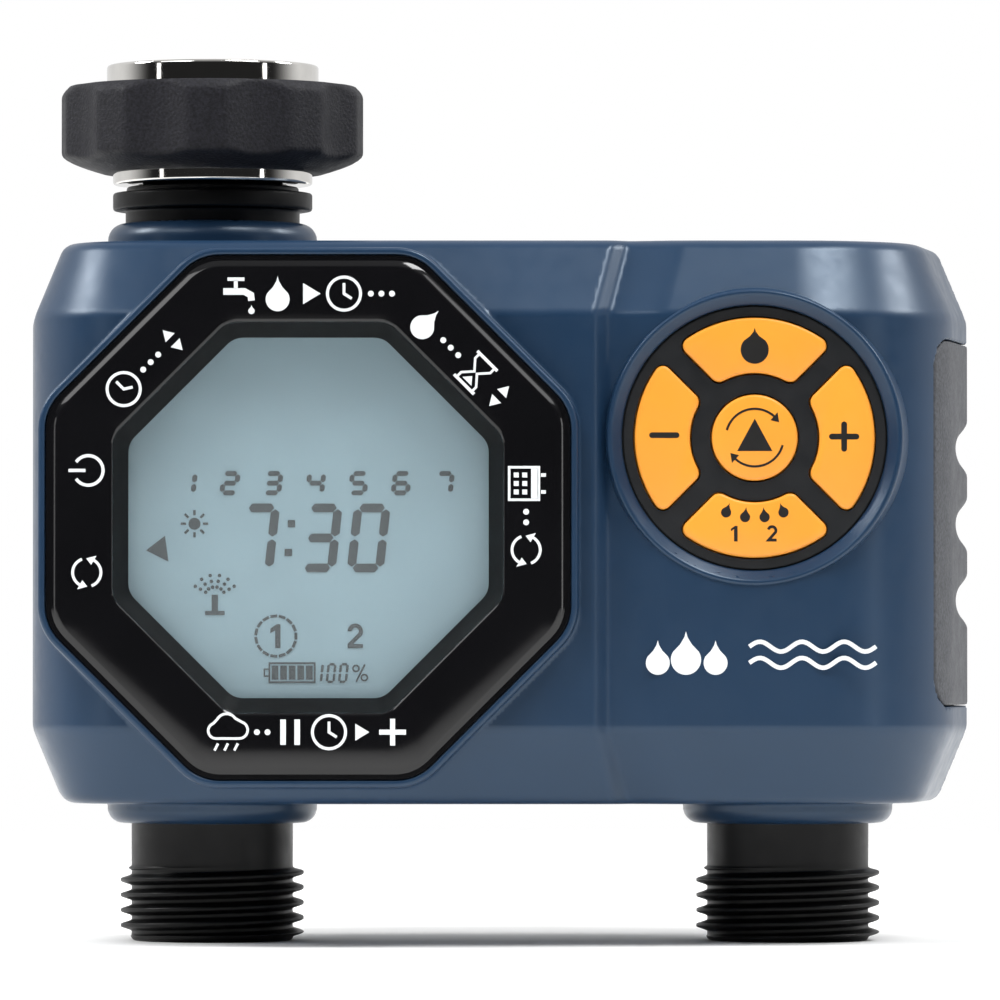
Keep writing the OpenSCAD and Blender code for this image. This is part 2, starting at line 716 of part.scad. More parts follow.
// The moulded water path: inlet tube, cross pipe, two risers, two valve cups and two outlet sockets
module valve_manifold() color("#3d4045") {
    pipe_z = 88;
    pipe_y = port_y + 4;
    riser_x = port_x - 19.5;
    difference() {
        union() {
            rod_z(-port_x, port_y, 80, 95.9, 13.2);
            rod_x(-port_x, riser_x, pipe_y, pipe_z, 8);
            translate([riser_x, pipe_y, pipe_z]) sphere(r = 8);
            for (s = [-1, 1]) {
                rod_z(s * riser_x, pipe_y, 42, pipe_z, 6);
                translate([s * riser_x, pipe_y, 42]) sphere(r = 6);
                rod_x(min(s * riser_x, s * port_x), max(s * riser_x, s * port_x), pipe_y, 42, 6);
                rod_z(s * port_x, valve_y, chamber_z, cup_top, 13);
                rod_z(s * port_x, port_y, case_base + wall + 2.7, chamber_z + 1.9, 13.2);
            }
        }
        rod_z(-port_x, port_y, 90, 100, 10.2);
        rod_z(-port_x, port_y, 84, 91, 8);
        rod_x(-port_x, riser_x, pipe_y, pipe_z, 5.6);
        for (s = [-1, 1]) {
            rod_z(s * riser_x, pipe_y, 42, pipe_z, 4);
            rod_x(min(s * riser_x, s * (port_x - 8)), max(s * riser_x, s * (port_x - 8)), pipe_y, 42, 4);
            at_valves(s) ring_z(0, 0, 38, cup_top + 1, 10.5, 5.5);
            at_valves(s) rod_z(0, 0, chamber_z - 3, seat_top + 1, 4);
            at_valves(s) rod_z(0, 0, seat_top, cup_top + 1, 6);
            rod_z(s * port_x, port_y, 20, 32.2, 10.4);
            rod_z(s * port_x, port_y, 30, chamber_z, passage_r);
            for (a = [45:90:315]) at_valves(s)
                rod_z(11.7 * cos(a), 11.7 * sin(a), cup_top - 6, cup_top + 1, 0.6);
        }
    }
}

// The rubber sheet between the cup and its bonnet, with the moving poppet in its middle
module diaphragm(side) color("#2a2a2a") at_valves(side) difference() {
    union() {
        rod_z(0, 0, cup_top, bonnet_z, 13);
        rod_z(0, 0, cup_top - 0.9, cup_top, 8);
    }
    rod_z(0, 0, cup_top - 2, bonnet_z + 1, 5.3);
    rod_z(0, 0, cup_top + 0.3, bonnet_z + 1, 7.4);
    for (a = [45:90:315]) rod_z(11.7 * cos(a), 11.7 * sin(a), cup_top - 2, bonnet_z + 1, 0.9);
}

module poppet(side) color("#c7c9cc") at_valves(side) {
    rod_z(0, 0, seat_top + 0.1, seat_top + 2.2, 5.1);
    rod_z(0, 0, seat_top + 2, seat_top + 4.2, 3.4);
    rod_z(0, 0, seat_top + 4, seat_top + 5, 1.6);
}

module valve_bonnet(side) color("#3d4045") at_valves(side) difference() {
    union() {
        rod_z(0, 0, bonnet_z, bonnet_top, 13);
        rod_z(0, 0, bonnet_top - 1, tube_top, plunger_r + 0.85);
    }
    rod_z(0, 0, bonnet_z - 1, bonnet_top - 1.4, 8);
    rod_z(0, 0, bonnet_top + 0.5, tube_top - 0.8, plunger_r + 0.05);
    rod_z(0, 0, bonnet_z, bonnet_top + 1, 0.8);
    for (a = [45:90:315]) rod_z(11.7 * cos(a), 11.7 * sin(a), bonnet_z - 1, bonnet_top + 1, 0.9);
}

module bonnet_screws() color(steel) for (s = [-1, 1]) at_valves(s) for (a = [45:90:315])
    translate([11.7 * cos(a), 11.7 * sin(a), 0]) {
        rod_z(0, 0, cup_top - 5.5, bonnet_top, 0.55);
        rod_z(0, 0, bonnet_top, bonnet_top + 0.8, 1.1);
    }

// The iron core that the coil lifts
module plunger(side) color(steel) at_valves(side) {
    rod_z(0, 0, bonnet_top + 0.7, bonnet_top + 1.6, 1.6);
    rod_z(0, 0, bonnet_top + 1.5, bonnet_top + 16.5, plunger_r);
}

module solenoid_coil(side) color("#b3682f") at_valves(side) difference() {
    union() {
        rod_z(0, 0, coil_z, coil_z + coil_h, 8.4);
        for (z = [coil_z, coil_z + coil_h - 1]) rod_z(0, 0, z, z + 1, 9);
    }
    rod_z(0, 0, coil_z - 1, coil_z + coil_h + 1, plunger_r + 0.95);
}

// A bent steel strap round the coil
module solenoid_yoke(side) color(steel) at_valves(side) difference() {
    box([-6, -7, coil_z - 1.2], [6, 10.4, coil_z + coil_h + 1.2]);
    box([-7, -8, coil_z], [7, 9.2, coil_z + coil_h]);
    rod_z(0, 0, 0, far, plunger_r + 0.95);
}

// A closed coil spring: the wire is swept round the Z axis as one mesh
module spring(r, wire_r, z0, z1, turns) {
    sides = 6;
    steps = 12;
    n = turns * steps;
    points = [for (i = [0:n]) for (j = [0:sides - 1])
        let (a = 360 * i / steps, b = 360 * j / sides, q = r + wire_r * cos(b))
        [q * cos(a), q * sin(a), z0 + wire_r + (z1 - z0 - 2 * wire_r) * i / n + wire_r * sin(b)]];
    walls = [for (i = [0:n - 1]) for (j = [0:sides - 1]) let (k = (j + 1) % sides)
        each [[sides * i + j, sides * i + k, sides * (i + 1) + k],
              [sides * i + j, sides * (i + 1) + k, sides * (i + 1) + j]]];
    first = [for (j = [1:sides - 2]) [0, j + 1, j]];
    last = [for (j = [1:sides - 2]) [sides * n, sides * n + j, sides * n + j + 1]];
    polyhedron(points, concat(walls, first, last));
}

module poppet_spring(side) color(steel) at_valves(side)
    spring(2.4, 0.25, seat_top + 4.3, bonnet_top - 1.5, 4);

module plunger_spring(side) color(steel) at_valves(side)
    spring(2.2, 0.22, bonnet_top + 16.6, tube_top - 0.9, 3);

// ---------- nodes ----------

front_cover();
rear_cover();
case_seal();
case_screws();
display_bezel();
display_window();
window_gasket();
lcd_panel();
lcd_segments();
lcd_frame();
contact_strips();
main_board();
board_components();
tact_switches();
keypad_surround();
keypad_seal();
button(0);  // button_water
button(1);  // button_plus
button(2);  // button_zone
button(3);  // button_minus
button(4);  // button_select
control_box();
battery_bay();
battery_tray();
tray_grip();
tray_seal();
battery(0);  // battery_1
battery(1);  // battery_2
battery(2);  // battery_3
bay_contacts();
tray_contacts();
coupling_nut();
coupling_grip();
inlet_washer();
filter_screen();
inlet_tailpiece();
inlet_o_ring();
valve_manifold();
outlet_spigot(-1);  // outlet_spigot_1
outlet_spigot(1);  // outlet_spigot_2
outlet_o_rings();
valve_bonnet(-1);  // valve_bonnet_1
valve_bonnet(1);  // valve_bonnet_2
diaphragm(-1);  // diaphragm_1
diaphragm(1);  // diaphragm_2
poppet(-1);  // poppet_1
poppet(1);  // poppet_2
poppet_spring(-1);  // poppet_spring_1
poppet_spring(1);  // poppet_spring_2
plunger(-1);  // plunger_1
plunger(1);  // plunger_2
plunger_spring(-1);  // plunger_spring_1
plunger_spring(1);  // plunger_spring_2
solenoid_coil(-1);  // solenoid_coil_1
solenoid_coil(1);  // solenoid_coil_2
solenoid_yoke(-1);  // solenoid_yoke_1
solenoid_yoke(1);  // solenoid_yoke_2
bonnet_screws();
solenoid_leads();
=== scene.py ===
"""Visual model of the two-zone irrigation timer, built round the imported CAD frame.

Shapes are worked out in millimetres and scaled to metres when a mesh is made."""

import math

import bmesh
import bpy
import numpy as np
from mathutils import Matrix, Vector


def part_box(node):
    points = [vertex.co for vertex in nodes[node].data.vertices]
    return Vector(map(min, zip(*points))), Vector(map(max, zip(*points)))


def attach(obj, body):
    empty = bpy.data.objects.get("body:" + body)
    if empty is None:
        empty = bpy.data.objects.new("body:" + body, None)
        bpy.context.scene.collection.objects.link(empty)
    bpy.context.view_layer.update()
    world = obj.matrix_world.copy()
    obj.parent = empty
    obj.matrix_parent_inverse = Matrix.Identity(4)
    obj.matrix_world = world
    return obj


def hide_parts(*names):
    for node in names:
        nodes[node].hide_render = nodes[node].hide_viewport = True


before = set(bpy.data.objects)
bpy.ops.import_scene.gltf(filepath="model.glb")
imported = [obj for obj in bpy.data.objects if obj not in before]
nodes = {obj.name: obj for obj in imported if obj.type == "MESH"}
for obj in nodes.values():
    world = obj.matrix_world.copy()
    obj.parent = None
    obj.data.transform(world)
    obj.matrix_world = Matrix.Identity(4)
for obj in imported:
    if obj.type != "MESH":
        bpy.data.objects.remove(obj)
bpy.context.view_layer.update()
MM = 0.001


def box_mm(node):
    """The lowest and highest corner of a CAD node, in millimetres."""
    low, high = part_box(node)
    return np.array(low) / MM, np.array(high) / MM


# ---------------------------------------------------------------- levels read from the frame

case_low, case_high = box_mm("rear_cover")
bezel_low, bezel_high = box_mm("display_bezel")
window_low, window_high = box_mm("display_window")
web_low, web_high = box_mm("keypad_surround")
select_low, select_high = box_mm("button_select")
nut_low, nut_high = box_mm("coupling_nut")
grip_low, grip_high = box_mm("coupling_grip")
spigot_low, spigot_high = box_mm("outlet_spigot_2")
tray_low, tray_high = box_mm("tray_grip")
tail_low, tail_high = box_mm("inlet_tailpiece")

PORT_X = (spigot_low[0] + spigot_high[0]) / 2
PORT_Y = (spigot_low[1] + spigot_high[1]) / 2
HALF_W = tray_high[0]
REAR_Y = case_high[1]
POD_Y = bezel_low[1]
FRONT_Y = POD_Y + 3.5
COLLAR_TOP = case_high[2]
COLLAR_BASE = case_low[2]
CASE_TOP = COLLAR_TOP - 3.8
CASE_BASE = COLLAR_BASE + 3.2
MID_Z = (bezel_low[2] + bezel_high[2]) / 2
DISPLAY_X = (bezel_low[0] + bezel_high[0]) / 2
KEYS_X = (select_low[0] + select_high[0]) / 2
KEYS_Z = (select_low[2] + select_high[2]) / 2
POD_AF = bezel_high[0] - bezel_low[0] + 2
WALL = 2.2
SLOPE_H = 10.6
KEYS_R = 18.9
MIDDLE = (CASE_TOP + CASE_BASE) / 2


# ---------------------------------------------------------------- fields of distance


def fillet(a, b, r, c=0.0):
    """Inside both a and b, with their edge rounded by r. c is the dot product of their normals."""
    u = a + r
    v = b + r
    w = np.sqrt(np.maximum(u * u + v * v - 2 * c * u * v, 0) / (1 - c * c))
    return np.where((u - c * v > 0) & (v - c * u > 0), w - r, np.maximum(a, b))


def join(a, b, r, c=0.0):
    """Inside a or b, with the inner corner between them rounded by r."""
    return -fillet(-a, -b, r, c)


def smooth(low, high, t):
    s = np.clip((t - low) / (high - low), 0, 1)
    return s * s * (3 - 2 * s)


def octagon(x, z, af, r):
    """Distance from a regular octagon with flats af apart and corners of radius r."""
    a = np.maximum(np.abs(x), np.abs(z))
    b = np.minimum(np.abs(x), np.abs(z))
    return fillet(a - af / 2, (a + b) * math.sqrt(0.5) - af / 2, r, math.sqrt(0.5))


def crease(x, z):
    """How far the front falls back in the groove between the two blocks."""
    bend = np.maximum(np.abs(z - MIDDLE) - 29.7, 0)
    u = x - 14.6 - 0.26 * bend
    return 1.9 * smooth(-1.7, 1.5, u) * (1 - smooth(0.4, 9.5, u))


def block_field(x, y, z):
    """Distance from the whole case, without its pod and collars."""
    front = FRONT_Y + crease(x, z) - y
    rear = y - REAR_Y
    depth = y - PORT_Y
    left = np.maximum(-0.9977 * (x + HALF_W) - 0.0683 * depth, -0.9889 * (x + HALF_W) + 0.1483 * depth)
    right = np.maximum(0.9845 * (x - HALF_W) - 0.1753 * depth, 0.9889 * (x - HALF_W) + 0.1483 * depth)
    plan = fillet(front, left, 20, 0.068)
    plan = fillet(plan, right, 24, 0.175)
    plan = fillet(plan, rear, 8)
    # The sloping bands fall back further at the front and rear than at the sides
    fall = 4.4 + 1.6 * smooth(-14, 14, np.maximum(front, rear) - np.maximum(left, right))
    n = np.sqrt(SLOPE_H**2 + fall**2)
    d = plan
    for edge in (z - (CASE_TOP - SLOPE_H), CASE_BASE + SLOPE_H - z):
        d = fillet(d, (SLOPE_H * plan + fall * edge) / n, 3.2, 0.89)
    d = fillet(d, z - CASE_TOP, 2.6, 0.45)
    return fillet(d, CASE_BASE - z, 2.6, 0.45)


def window_field(y, z, t=0.0):
    """The opening that the drawer's grip fills, seen from the side."""
    centre = (tray_low + tray_high) / 2
    half = (tray_high - tray_low) / 2 + t
    return fillet(np.abs(y - centre[1]) - half[1], np.abs(z - centre[2]) - half[2], 4.5)


def tube(x, y, side, r):
    return np.hypot(x - side * PORT_X, y - PORT_Y) - r


def with_collars(d, x, y, z):
    """Adds the collars round the inlet and the two outlets."""
    top = fillet(tube(x, y, -1, 15.3), z - COLLAR_TOP, 2.4)
    d = join(d, np.maximum(top, CASE_TOP - 3 - z), 0.7)
    for side in (-1, 1):
        low = fillet(tube(x, y, side, 15.3), COLLAR_BASE - z, 2.2)
        d = join(d, np.maximum(low, z - CASE_BASE - 3), 0.7)
    return d


def with_openings(d, x, y, z):
    """Cuts the drawer's window and the bores for the inlet and the outlets."""
    d = fillet(d, -np.maximum(window_field(y, z, 0.14), 57 - x), 0.25)
    d = fillet(d, -np.maximum(tube(x, y, -1, 12.9), MIDDLE - z), 0.4)
    for side in (-1, 1):
        d = fillet(d, -np.maximum(tube(x, y, side, 12.0), z - MIDDLE), 0.4)
    return d


SCREWS = [(-60.5, 92.5), (60.5, 92.5), (-60.5, 29.5), (60.5, 29.5), (0.0, 26.5)]


def screw_rods(x, z, r):
    d = np.hypot(x - SCREWS[0][0], z - SCREWS[0][1])
    for sx, sz in SCREWS[1:]:
        d = np.minimum(d, np.hypot(x - sx, z - sz))
    return d - r


def front_field(x, y, z):
    block = block_field(x, y, z)
    display = octagon(x - DISPLAY_X, z - MID_Z, POD_AF, 8)
    pod = np.maximum(np.maximum(display, POD_Y + 1.6 - y), y - FRONT_Y - 17.5)
    d = join(block, pod, 0.6)
    d = with_collars(d, x, y, z)
    room = np.minimum(block + WALL, octagon(x - DISPLAY_X, z - MID_Z, POD_AF - 5, 6))
    pocket = np.maximum(np.hypot(x - KEYS_X, z - KEYS_Z) - 20.6, FRONT_Y + WALL - y)
    d = np.maximum(d, -np.minimum(room, pocket))
    d = np.maximum(d, KEYS_R + 0.9 - np.hypot(x - KEYS_X, z - KEYS_Z))
    posts = np.maximum(np.maximum(screw_rods(x, z, 3.8), block + 1), -14 - y)
    d = np.minimum(d, posts)
    d = np.maximum(d, -np.maximum(screw_rods(x, z, 1.3), -10 - y))
    d = with_openings(d, x, y, z)
    return fillet(d, y - (PORT_Y - 0.3), 0.4)


def rear_field(x, y, z):
    block = block_field(x, y, z)
    d = with_collars(block, x, y, z)
    room = np.maximum(block + WALL, -screw_rods(x, z, 4.4))
    d = np.maximum(d, -room)
    d = fillet(d, -np.maximum(screw_rods(x, z, 3.2), REAR_Y - 7 - y), 0.5)
    d = np.maximum(d, -screw_rods(x, z, 1.7))
    d = with_openings(d, x, y, z)
    return fillet(d, PORT_Y - y, 0.4)


def grip_field(x, y, z):
    """The drawer's outer end, with its three finger notches."""
    d = fillet(block_field(x, y, z), window_field(y, z), 0.3)
    d = np.maximum(d, tray_low[0] - x)
    for i in (-1, 0, 1):
        notch = np.hypot(x - HALF_W - 1.05, z - MIDDLE - i * 11.1) - 3.05
        d = fillet(d, -notch, 0.9, -0.3)
    return d


# ---------------------------------------------------------------- meshes


def gradient(field, p, h=0.02):
    g = np.empty_like(p)
    for axis in range(3):
        a = p.copy()
        b = p.copy()
        a[:, axis] += h
        b[:, axis] -= h
        g[:, axis] = (field(*a.T) - field(*b.T)) / (2 * h)
    return g


def surface_net(field, low, high, step):
    """Vertices and quads of the surface where field is zero, in the box from low to high."""
    axes = [np.arange(low[i], high[i] + step, step) for i in range(3)]
    shape = [len(a) for a in axes]
    f = np.empty(shape, dtype=np.float32)
    # One slab at a time keeps the memory small
    yy, zz = np.meshgrid(axes[1], axes[2], indexing="ij")
    for i in range(0, shape[0], 16):
        xs = axes[0][i : i + 16]
        x3 = np.broadcast_to(xs[:, None, None], (len(xs),) + yy.shape)
        f[i : i + 16] = field(x3, np.broadcast_to(yy, x3.shape), np.broadcast_to(zz, x3.shape))
    inside = f < 0
    cells = inside[:-1, :-1, :-1].astype(np.int8)
    total = np.zeros_like(cells)
    for dx in (0, 1):
        for dy in (0, 1):
            for dz in (0, 1):
                total += inside[dx : shape[0] - 1 + dx, dy : shape[1] - 1 + dy, dz : shape[2] - 1 + dz]
    ci, cj, ck = np.nonzero((total > 0) & (total < 8))
    index = np.full(total.shape, -1, dtype=np.int64)
    index[ci, cj, ck] = np.arange(len(ci))
    sums = np.zeros((len(ci), 3))
    count = np.zeros(len(ci))
    corners = [(0, 0, 0), (1, 0, 0), (0, 1, 0), (1, 1, 0), (0, 0, 1), (1, 0, 1), (0, 1, 1), (1, 1, 1)]
    for a in range(8):
        for axis in range(3):
            if corners[a][axis]:
                continue
            ca = np.array(corners[a])
            cb = ca.copy()
            cb[axis] = 1
            fa = f[ci + ca[0], cj + ca[1], ck + ca[2]]
            fb = f[ci + cb[0], cj + cb[1], ck + cb[2]]
            cross = (fa < 0) != (fb < 0)
            t = np.where(cross, fa / np.where(cross, fa - fb, 1), 0)
            p = np.tile(ca.astype(float), (len(ci), 1))
            p[:, axis] += t
            sums += p * cross[:, None]
            count += cross
    points = sums / count[:, None]
    origin = np.array([a[0] for a in axes])
    points = origin + (points + np.stack([ci, cj, ck], 1)) * step
    quads = []
    for axis in range(3):
        o1, o2 = [a for a in range(3) if a != axis]
        first = np.swapaxes(inside, 0, axis)[:-1]
        second = np.swapaxes(inside, 0, axis)[1:]
        change = np.swapaxes(first != second, 0, axis)
        start = np.swapaxes(first, 0, axis)
        e = np.stack(np.nonzero(change), 1)
        e = e[(e[:, o1] > 0) & (e[:, o2] > 0) & (e[:, o1] < shape[o1] - 1) & (e[:, o2] < shape[o2] - 1)]
        ring = []
        for s1, s2 in ((1, 1), (0, 1), (0, 0), (1, 0)):
            c = e.copy()
            c[:, o1] -= s1
            c[:, o2] -= s2
            ring.append(index[c[:, 0], c[:, 1], c[:, 2]])
        q = np.stack(ring, 1)
        flip = start[e[:, 0], e[:, 1], e[:, 2]]
        if axis == 1:
            flip = ~flip
        q[~flip] = q[~flip][:, ::-1]
        quads.append(q)
    # A few steps along the gradient bring the vertices onto the surface
    for _ in range(3):
        g = gradient(field, points)
        size = np.maximum((g * g).sum(1), 0.2)
        move = (field(*points.T) / size)[:, None] * g
        length = np.linalg.norm(move, axis=1, keepdims=True)
        move *= np.minimum(1, step * 0.5 / np.maximum(length, 1e-9))
        points = points - move
    return points, np.concatenate(quads)


def put(name, points, faces, body, material, slot, replaces=(), flat=False):
    """Makes an object of millimetre points that rides on a body."""
    mesh = bpy.data.meshes.new(name)
    points = np.asarray(points, dtype=np.float64) * MM
    if isinstance(faces, np.ndarray):
        n, k = faces.shape
        mesh.vertices.add(len(points))
        mesh.vertices.foreach_set("co", points.ravel().astype(np.float32))
        mesh.loops.add(n * k)
        mesh.loops.foreach_set("vertex_index", faces.ravel().astype(np.int32))
        mesh.polygons.add(n)
        mesh.polygons.foreach_set("loop_start", np.arange(0, n * k, k, dtype=np.int32))
        mesh.update(calc_edges=True)
    else:
        mesh.from_pydata([tuple(p) for p in points], [], faces)
    mesh.validate()
    mesh.polygons.foreach_set("use_smooth", [not flat] * len(mesh.polygons))
    o = bpy.data.objects.new(name, mesh)
    bpy.context.scene.collection.objects.link(o)
    mesh.materials.append(material)
    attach(o, body)
    if replaces:
        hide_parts(*replaces)
    return o


def applied(o):
    """Applies an object's modifiers to its mesh."""
    graph = bpy.context.evaluated_depsgraph_get()
    mesh = bpy.data.meshes.new_from_object(o.evaluated_get(graph))
    old = o.data
    o.modifiers.clear()
    o.data = mesh
    bpy.data.meshes.remove(old)
    return o


def net_object(name, field, low, high, step, keep, *rest, **more):
    """A surface net, thinned to the share keep of its faces, with the field's own normals."""
    points, quads = surface_net(field, low, high, step)
    o = put(name, points, quads, *rest, **more)
    if keep < 1:
        thin = o.modifiers.new("thin", "DECIMATE")
        thin.ratio = keep
        applied(o)
    mesh = o.data
    mesh.polygons.foreach_set("use_smooth", [True] * len(mesh.polygons))
    p = np.empty(len(mesh.vertices) * 3)
    mesh.vertices.foreach_get("co", p)
    p = p.reshape(-1, 3) / MM
    g = gradient(field, p, 0.06)
    g /= np.maximum(np.linalg.norm(g, axis=1, keepdims=True), 1e-9)
    mesh.normals_split_custom_set_from_vertices([tuple(n) for n in g])
    return o


def grid_faces(rows, columns):
    """Quads of a grid of rows, each a ring of columns points."""
    i = np.arange(rows - 1)[:, None]
    j = np.arange(columns)[None, :]
    a = i * columns + j
    b = i * columns + (j + 1) % columns
    return np.stack([a, b, b + columns, a + columns], -1).reshape(-1, 4)


def loft(name, rings, *rest, **more):
    """Skins closed rings of points, one after the other and back to the first."""
    rings = np.array(rings)
    rows, columns = rings.shape[:2]
    faces = grid_faces(rows + 1, columns) % (rows * columns)
    return put(name, rings.reshape(-1, 3), faces, *rest, **more)


def capped(name, rings, *rest, **more):
    """Skins closed rings of points and closes both ends."""
    rings = np.array(rings)
    rows, columns = rings.shape[:2]
    faces = [list(map(int, f)) for f in grid_faces(rows, columns)]
    faces.append(list(range(columns))[::-1])
    faces.append(list(range((rows - 1) * columns, rows * columns)))
    return put(name, rings.reshape(-1, 3), faces, *rest, **more)


def sharpen(o, angle=35):
    """Smooth shading with edges sharper than angle left crisp."""
    bm = bmesh.new()
    bm.from_mesh(o.data)
    bm.normal_update()
    limit = math.radians(angle)
    for e in bm.edges:
        e.smooth = not (len(e.link_faces) == 2 and e.calc_face_angle(0) > limit)
    bm.to_mesh(o.data)
    bm.free()
    return o


def lathe(name, x, y, rows, *rest, thread=None, steps=96, axis="z", **more):
    """Turns a closed profile of (radius, height) about an axis at x, y.

    thread is (depth, pitch, low, high)."""
    turn = np.arange(steps) * 2 * math.pi / steps
    rings = []
    for r, h in rows:
        radius = np.full(steps, float(r))
        if thread:
            depth, pitch, low, high = thread
            phase = np.abs((h / pitch - turn / (2 * math.pi) + 0.5) % 1 - 0.5)
            fade = smooth(low, low + pitch * 0.4, h) * (1 - smooth(high - pitch * 0.4, high, h))
            radius += depth * fade * smooth(0.43, 0.1, -phase + 0.53)
        ring = np.stack([x + radius * np.cos(turn), y + radius * np.sin(turn), np.full(steps, h)], 1)
        rings.append(ring[:, [2, 0, 1]] if axis == "x" else ring)
    return loft(name, rings, *rest, **more)


def turned(rows, radius=0.4, n=4):
    """Rounds the corners of a closed profile by up to radius."""
    p = np.array(rows, float)
    out = []
    for i in range(len(p)):
        a, b, c = p[i - 1], p[i], p[(i + 1) % len(p)]
        u, v = a - b, c - b
        cut = min(radius, np.linalg.norm(u) * 0.45, np.linalg.norm(v) * 0.45)
        s = b + u / np.linalg.norm(u) * cut
        e = b + v / np.linalg.norm(v) * cut
        for t in np.linspace(0, 1, n):
            out.append(tuple((1 - t) ** 2 * s + 2 * t * (1 - t) * b + t * t * e))
    return out


# ---------------------------------------------------------------- flat marks, in (across, up)


def plate(outline):
    """A filled mark: its points, its faces and its border."""
    points = np.array(outline, float)
    return points, [list(range(len(points)))], [list(range(len(points)))]


def ribbon(line, width, closed=False):
    """A line of even width."""
    p = np.array(line, float)
    k = len(p)
    ahead = np.roll(p, -1, 0) - p
    ahead /= np.linalg.norm(ahead, axis=1, keepdims=True)
    behind = np.roll(ahead, 1, 0)
    if not closed:
        behind[0] = ahead[0]
        ahead[-1] = behind[-1]
    n = (behind + ahead)[:, ::-1] * (-1, 1)
    n /= np.linalg.norm(n, axis=1, keepdims=True)
    square = (n * behind[:, ::-1] * (-1, 1)).sum(1)
    off = n * (width / 2 / np.maximum(square, 0.35))[:, None]
    faces = [[i, (i + 1) % k, k + (i + 1) % k, k + i] for i in range(k if closed else k - 1)]
    one, two = list(range(k)), list(range(2 * k - 1, k - 1, -1))
    return np.concatenate([p + off, p - off]), faces, [one, two] if closed else [one + two]


def arc(x, z, r, start, end, n=24):
    a = np.radians(np.linspace(start, end, n))
    return np.stack([x + r * np.cos(a), z + r * np.sin(a)], 1)


def ring(x, z, r, width, n=32):
    return ribbon(arc(x, z, r, 0, 360, n + 1)[:-1], width, True)


def disc(x, z, r, n=24):
    return plate(arc(x, z, r, 0, 360, n + 1)[:-1])


def bar(x0, z0, x1, z1):
    return plate([(x0, z0), (x1, z0), (x1, z1), (x0, z1)])


def drop(x, z, w, h):
    """A water drop, w wide and h tall, standing on z."""
    r = w / 2
    angle = math.degrees(math.acos(r / (h - r)))
    round_part = arc(x, z + r, r, 90 + angle, 450 - angle, 24)
    side = round_part[0], round_part[-1]
    tip = np.array([x, z + h])
    left = [tip + (side[0] - tip) * t + (0.09 * w * math.sin(math.pi * t), 0) for t in (0.3, 0.65)]
    right = [tip + (side[1] - tip) * t - (0.09 * w * math.sin(math.pi * t), 0) for t in (0.65, 0.3)]
    return plate([tip, *left, *round_part, *right])


def arrow(x, z, r, start, end, width, head):
    """A line along an arc, with an arrow head at its end."""
    sign = 1 if end > start else -1
    line = arc(x, z, r, start, end, 20)
    a = math.radians(end)
    tip = math.radians(end + sign * math.degrees(head * 1.5 / r))
    at = lambda q, angle: (x + q * math.cos(angle), z + q * math.sin(angle))
    points = [at(r - head, a), at(r, tip), at(r + head, a)]
    return [ribbon(line, width), plate(points if sign < 0 else points[::-1])]


def placed(marks, x, z, turn=0.0):
    """Turns marks about their origin, and then moves them."""
    a = math.radians(turn)
    m = np.array([[math.cos(a), math.sin(a)], [-math.sin(a), math.cos(a)]])
    return [(points @ m + (x, z), faces, loops) for points, faces, loops in marks]


def clock():
    return [ring(0, 0, 2.35, 0.42), ribbon([(0, 1.5), (0, 0), (1.1, -0.7)], 0.4)]


def hourglass():
    left = [(-1.5, 2.1), (-1.5, 1.4), (-0.25, 0), (-1.5, -1.4), (-1.5, -2.1)]
    right = [(-a, b) for a, b in left]
    sand = plate([(-0.9, -1.75), (0.9, -1.75), (0, -0.7)])
    return [ribbon(left, 0.34), ribbon(right, 0.34), bar(-2, 2.1, 2, 2.55), bar(-2, -2.55, 2, -2.1), sand]


def calendar():
    marks = [ribbon([(-2.3, -2.2), (2.3, -2.2), (2.3, 2), (-2.3, 2)], 0.36, True), bar(-2.1, 0.9, 2.1, 1.9)]
    marks += [bar(a - 0.25, 2.3, a + 0.25, 3) for a in (-1.2, 1.2)]
    return marks + [bar(a - 0.35, b - 0.35, a + 0.35, b + 0.35) for a in (-1.2, 0, 1.2) for b in (-1.2, 0)]


def power():
    return [ribbon(arc(0, -0.2, 2.1, 125, 415, 26), 0.45), bar(-0.23, 0.2, 0.23, 2.6)]


def cycle():
    return arrow(0, 0, 2, 200, 330, 0.4, 0.75) + arrow(0, 0, 2, 20, 150, 0.4, 0.75)


def cloud():
    outline = [*arc(-1.6, -0.3, 1.1, 270, 110, 10), *arc(-0.1, 0.6, 1.5, 150, 35, 12),
               *arc(1.7, -0.2, 1.2, 75, -90, 10)]
    rain = [ribbon([(a, -2.1), (a - 0.5, -3.1)], 0.36) for a in (-1.3, 0.1, 1.5)]
    return [ribbon(outline, 0.36, True)] + rain


def up_down():
    return [plate([(-0.9, 0.5), (0.9, 0.5), (0, 2)]), plate([(-0.9, -0.5), (0, -2), (0.9, -0.5)])]


def stamp(name, marks, y, proud, body, material, slot):
    """Prints flat marks on the plane at y, standing proud of it towards the front."""
    points, faces = [], []
    for flat, cells, loops in marks:
        base, k = len(points), len(flat)
        points += [(a, y - proud, b) for a, b in flat] + [(a, y + 0.05, b) for a, b in flat]
        faces += [[base + i for i in cell] for cell in cells]
        faces += [[base + k + i for i in cell[::-1]] for cell in cells]
        for loop in loops:
            for i, j in zip(loop, loop[1:] + loop[:1]):
                faces.append([base + i, base + k + i, base + k + j, base + j])
    return face_out(put(name, points, faces, body, material, slot, flat=True))


def face_out(o):
    bm = bmesh.new()
    bm.from_mesh(o.data)
    bmesh.ops.recalc_face_normals(bm, faces=bm.faces)
    bm.to_mesh(o.data)
    bm.free()
    return o


# ---------------------------------------------------------------- materials


def linear(colour):
    """The linear values of a colour written as six hex digits."""
    parts = [int(colour[i : i + 2], 16) / 255 for i in (0, 2, 4)]
    return [p / 12.92 if p <= 0.04045 else ((p + 0.055) / 1.055) ** 2.4 for p in parts]


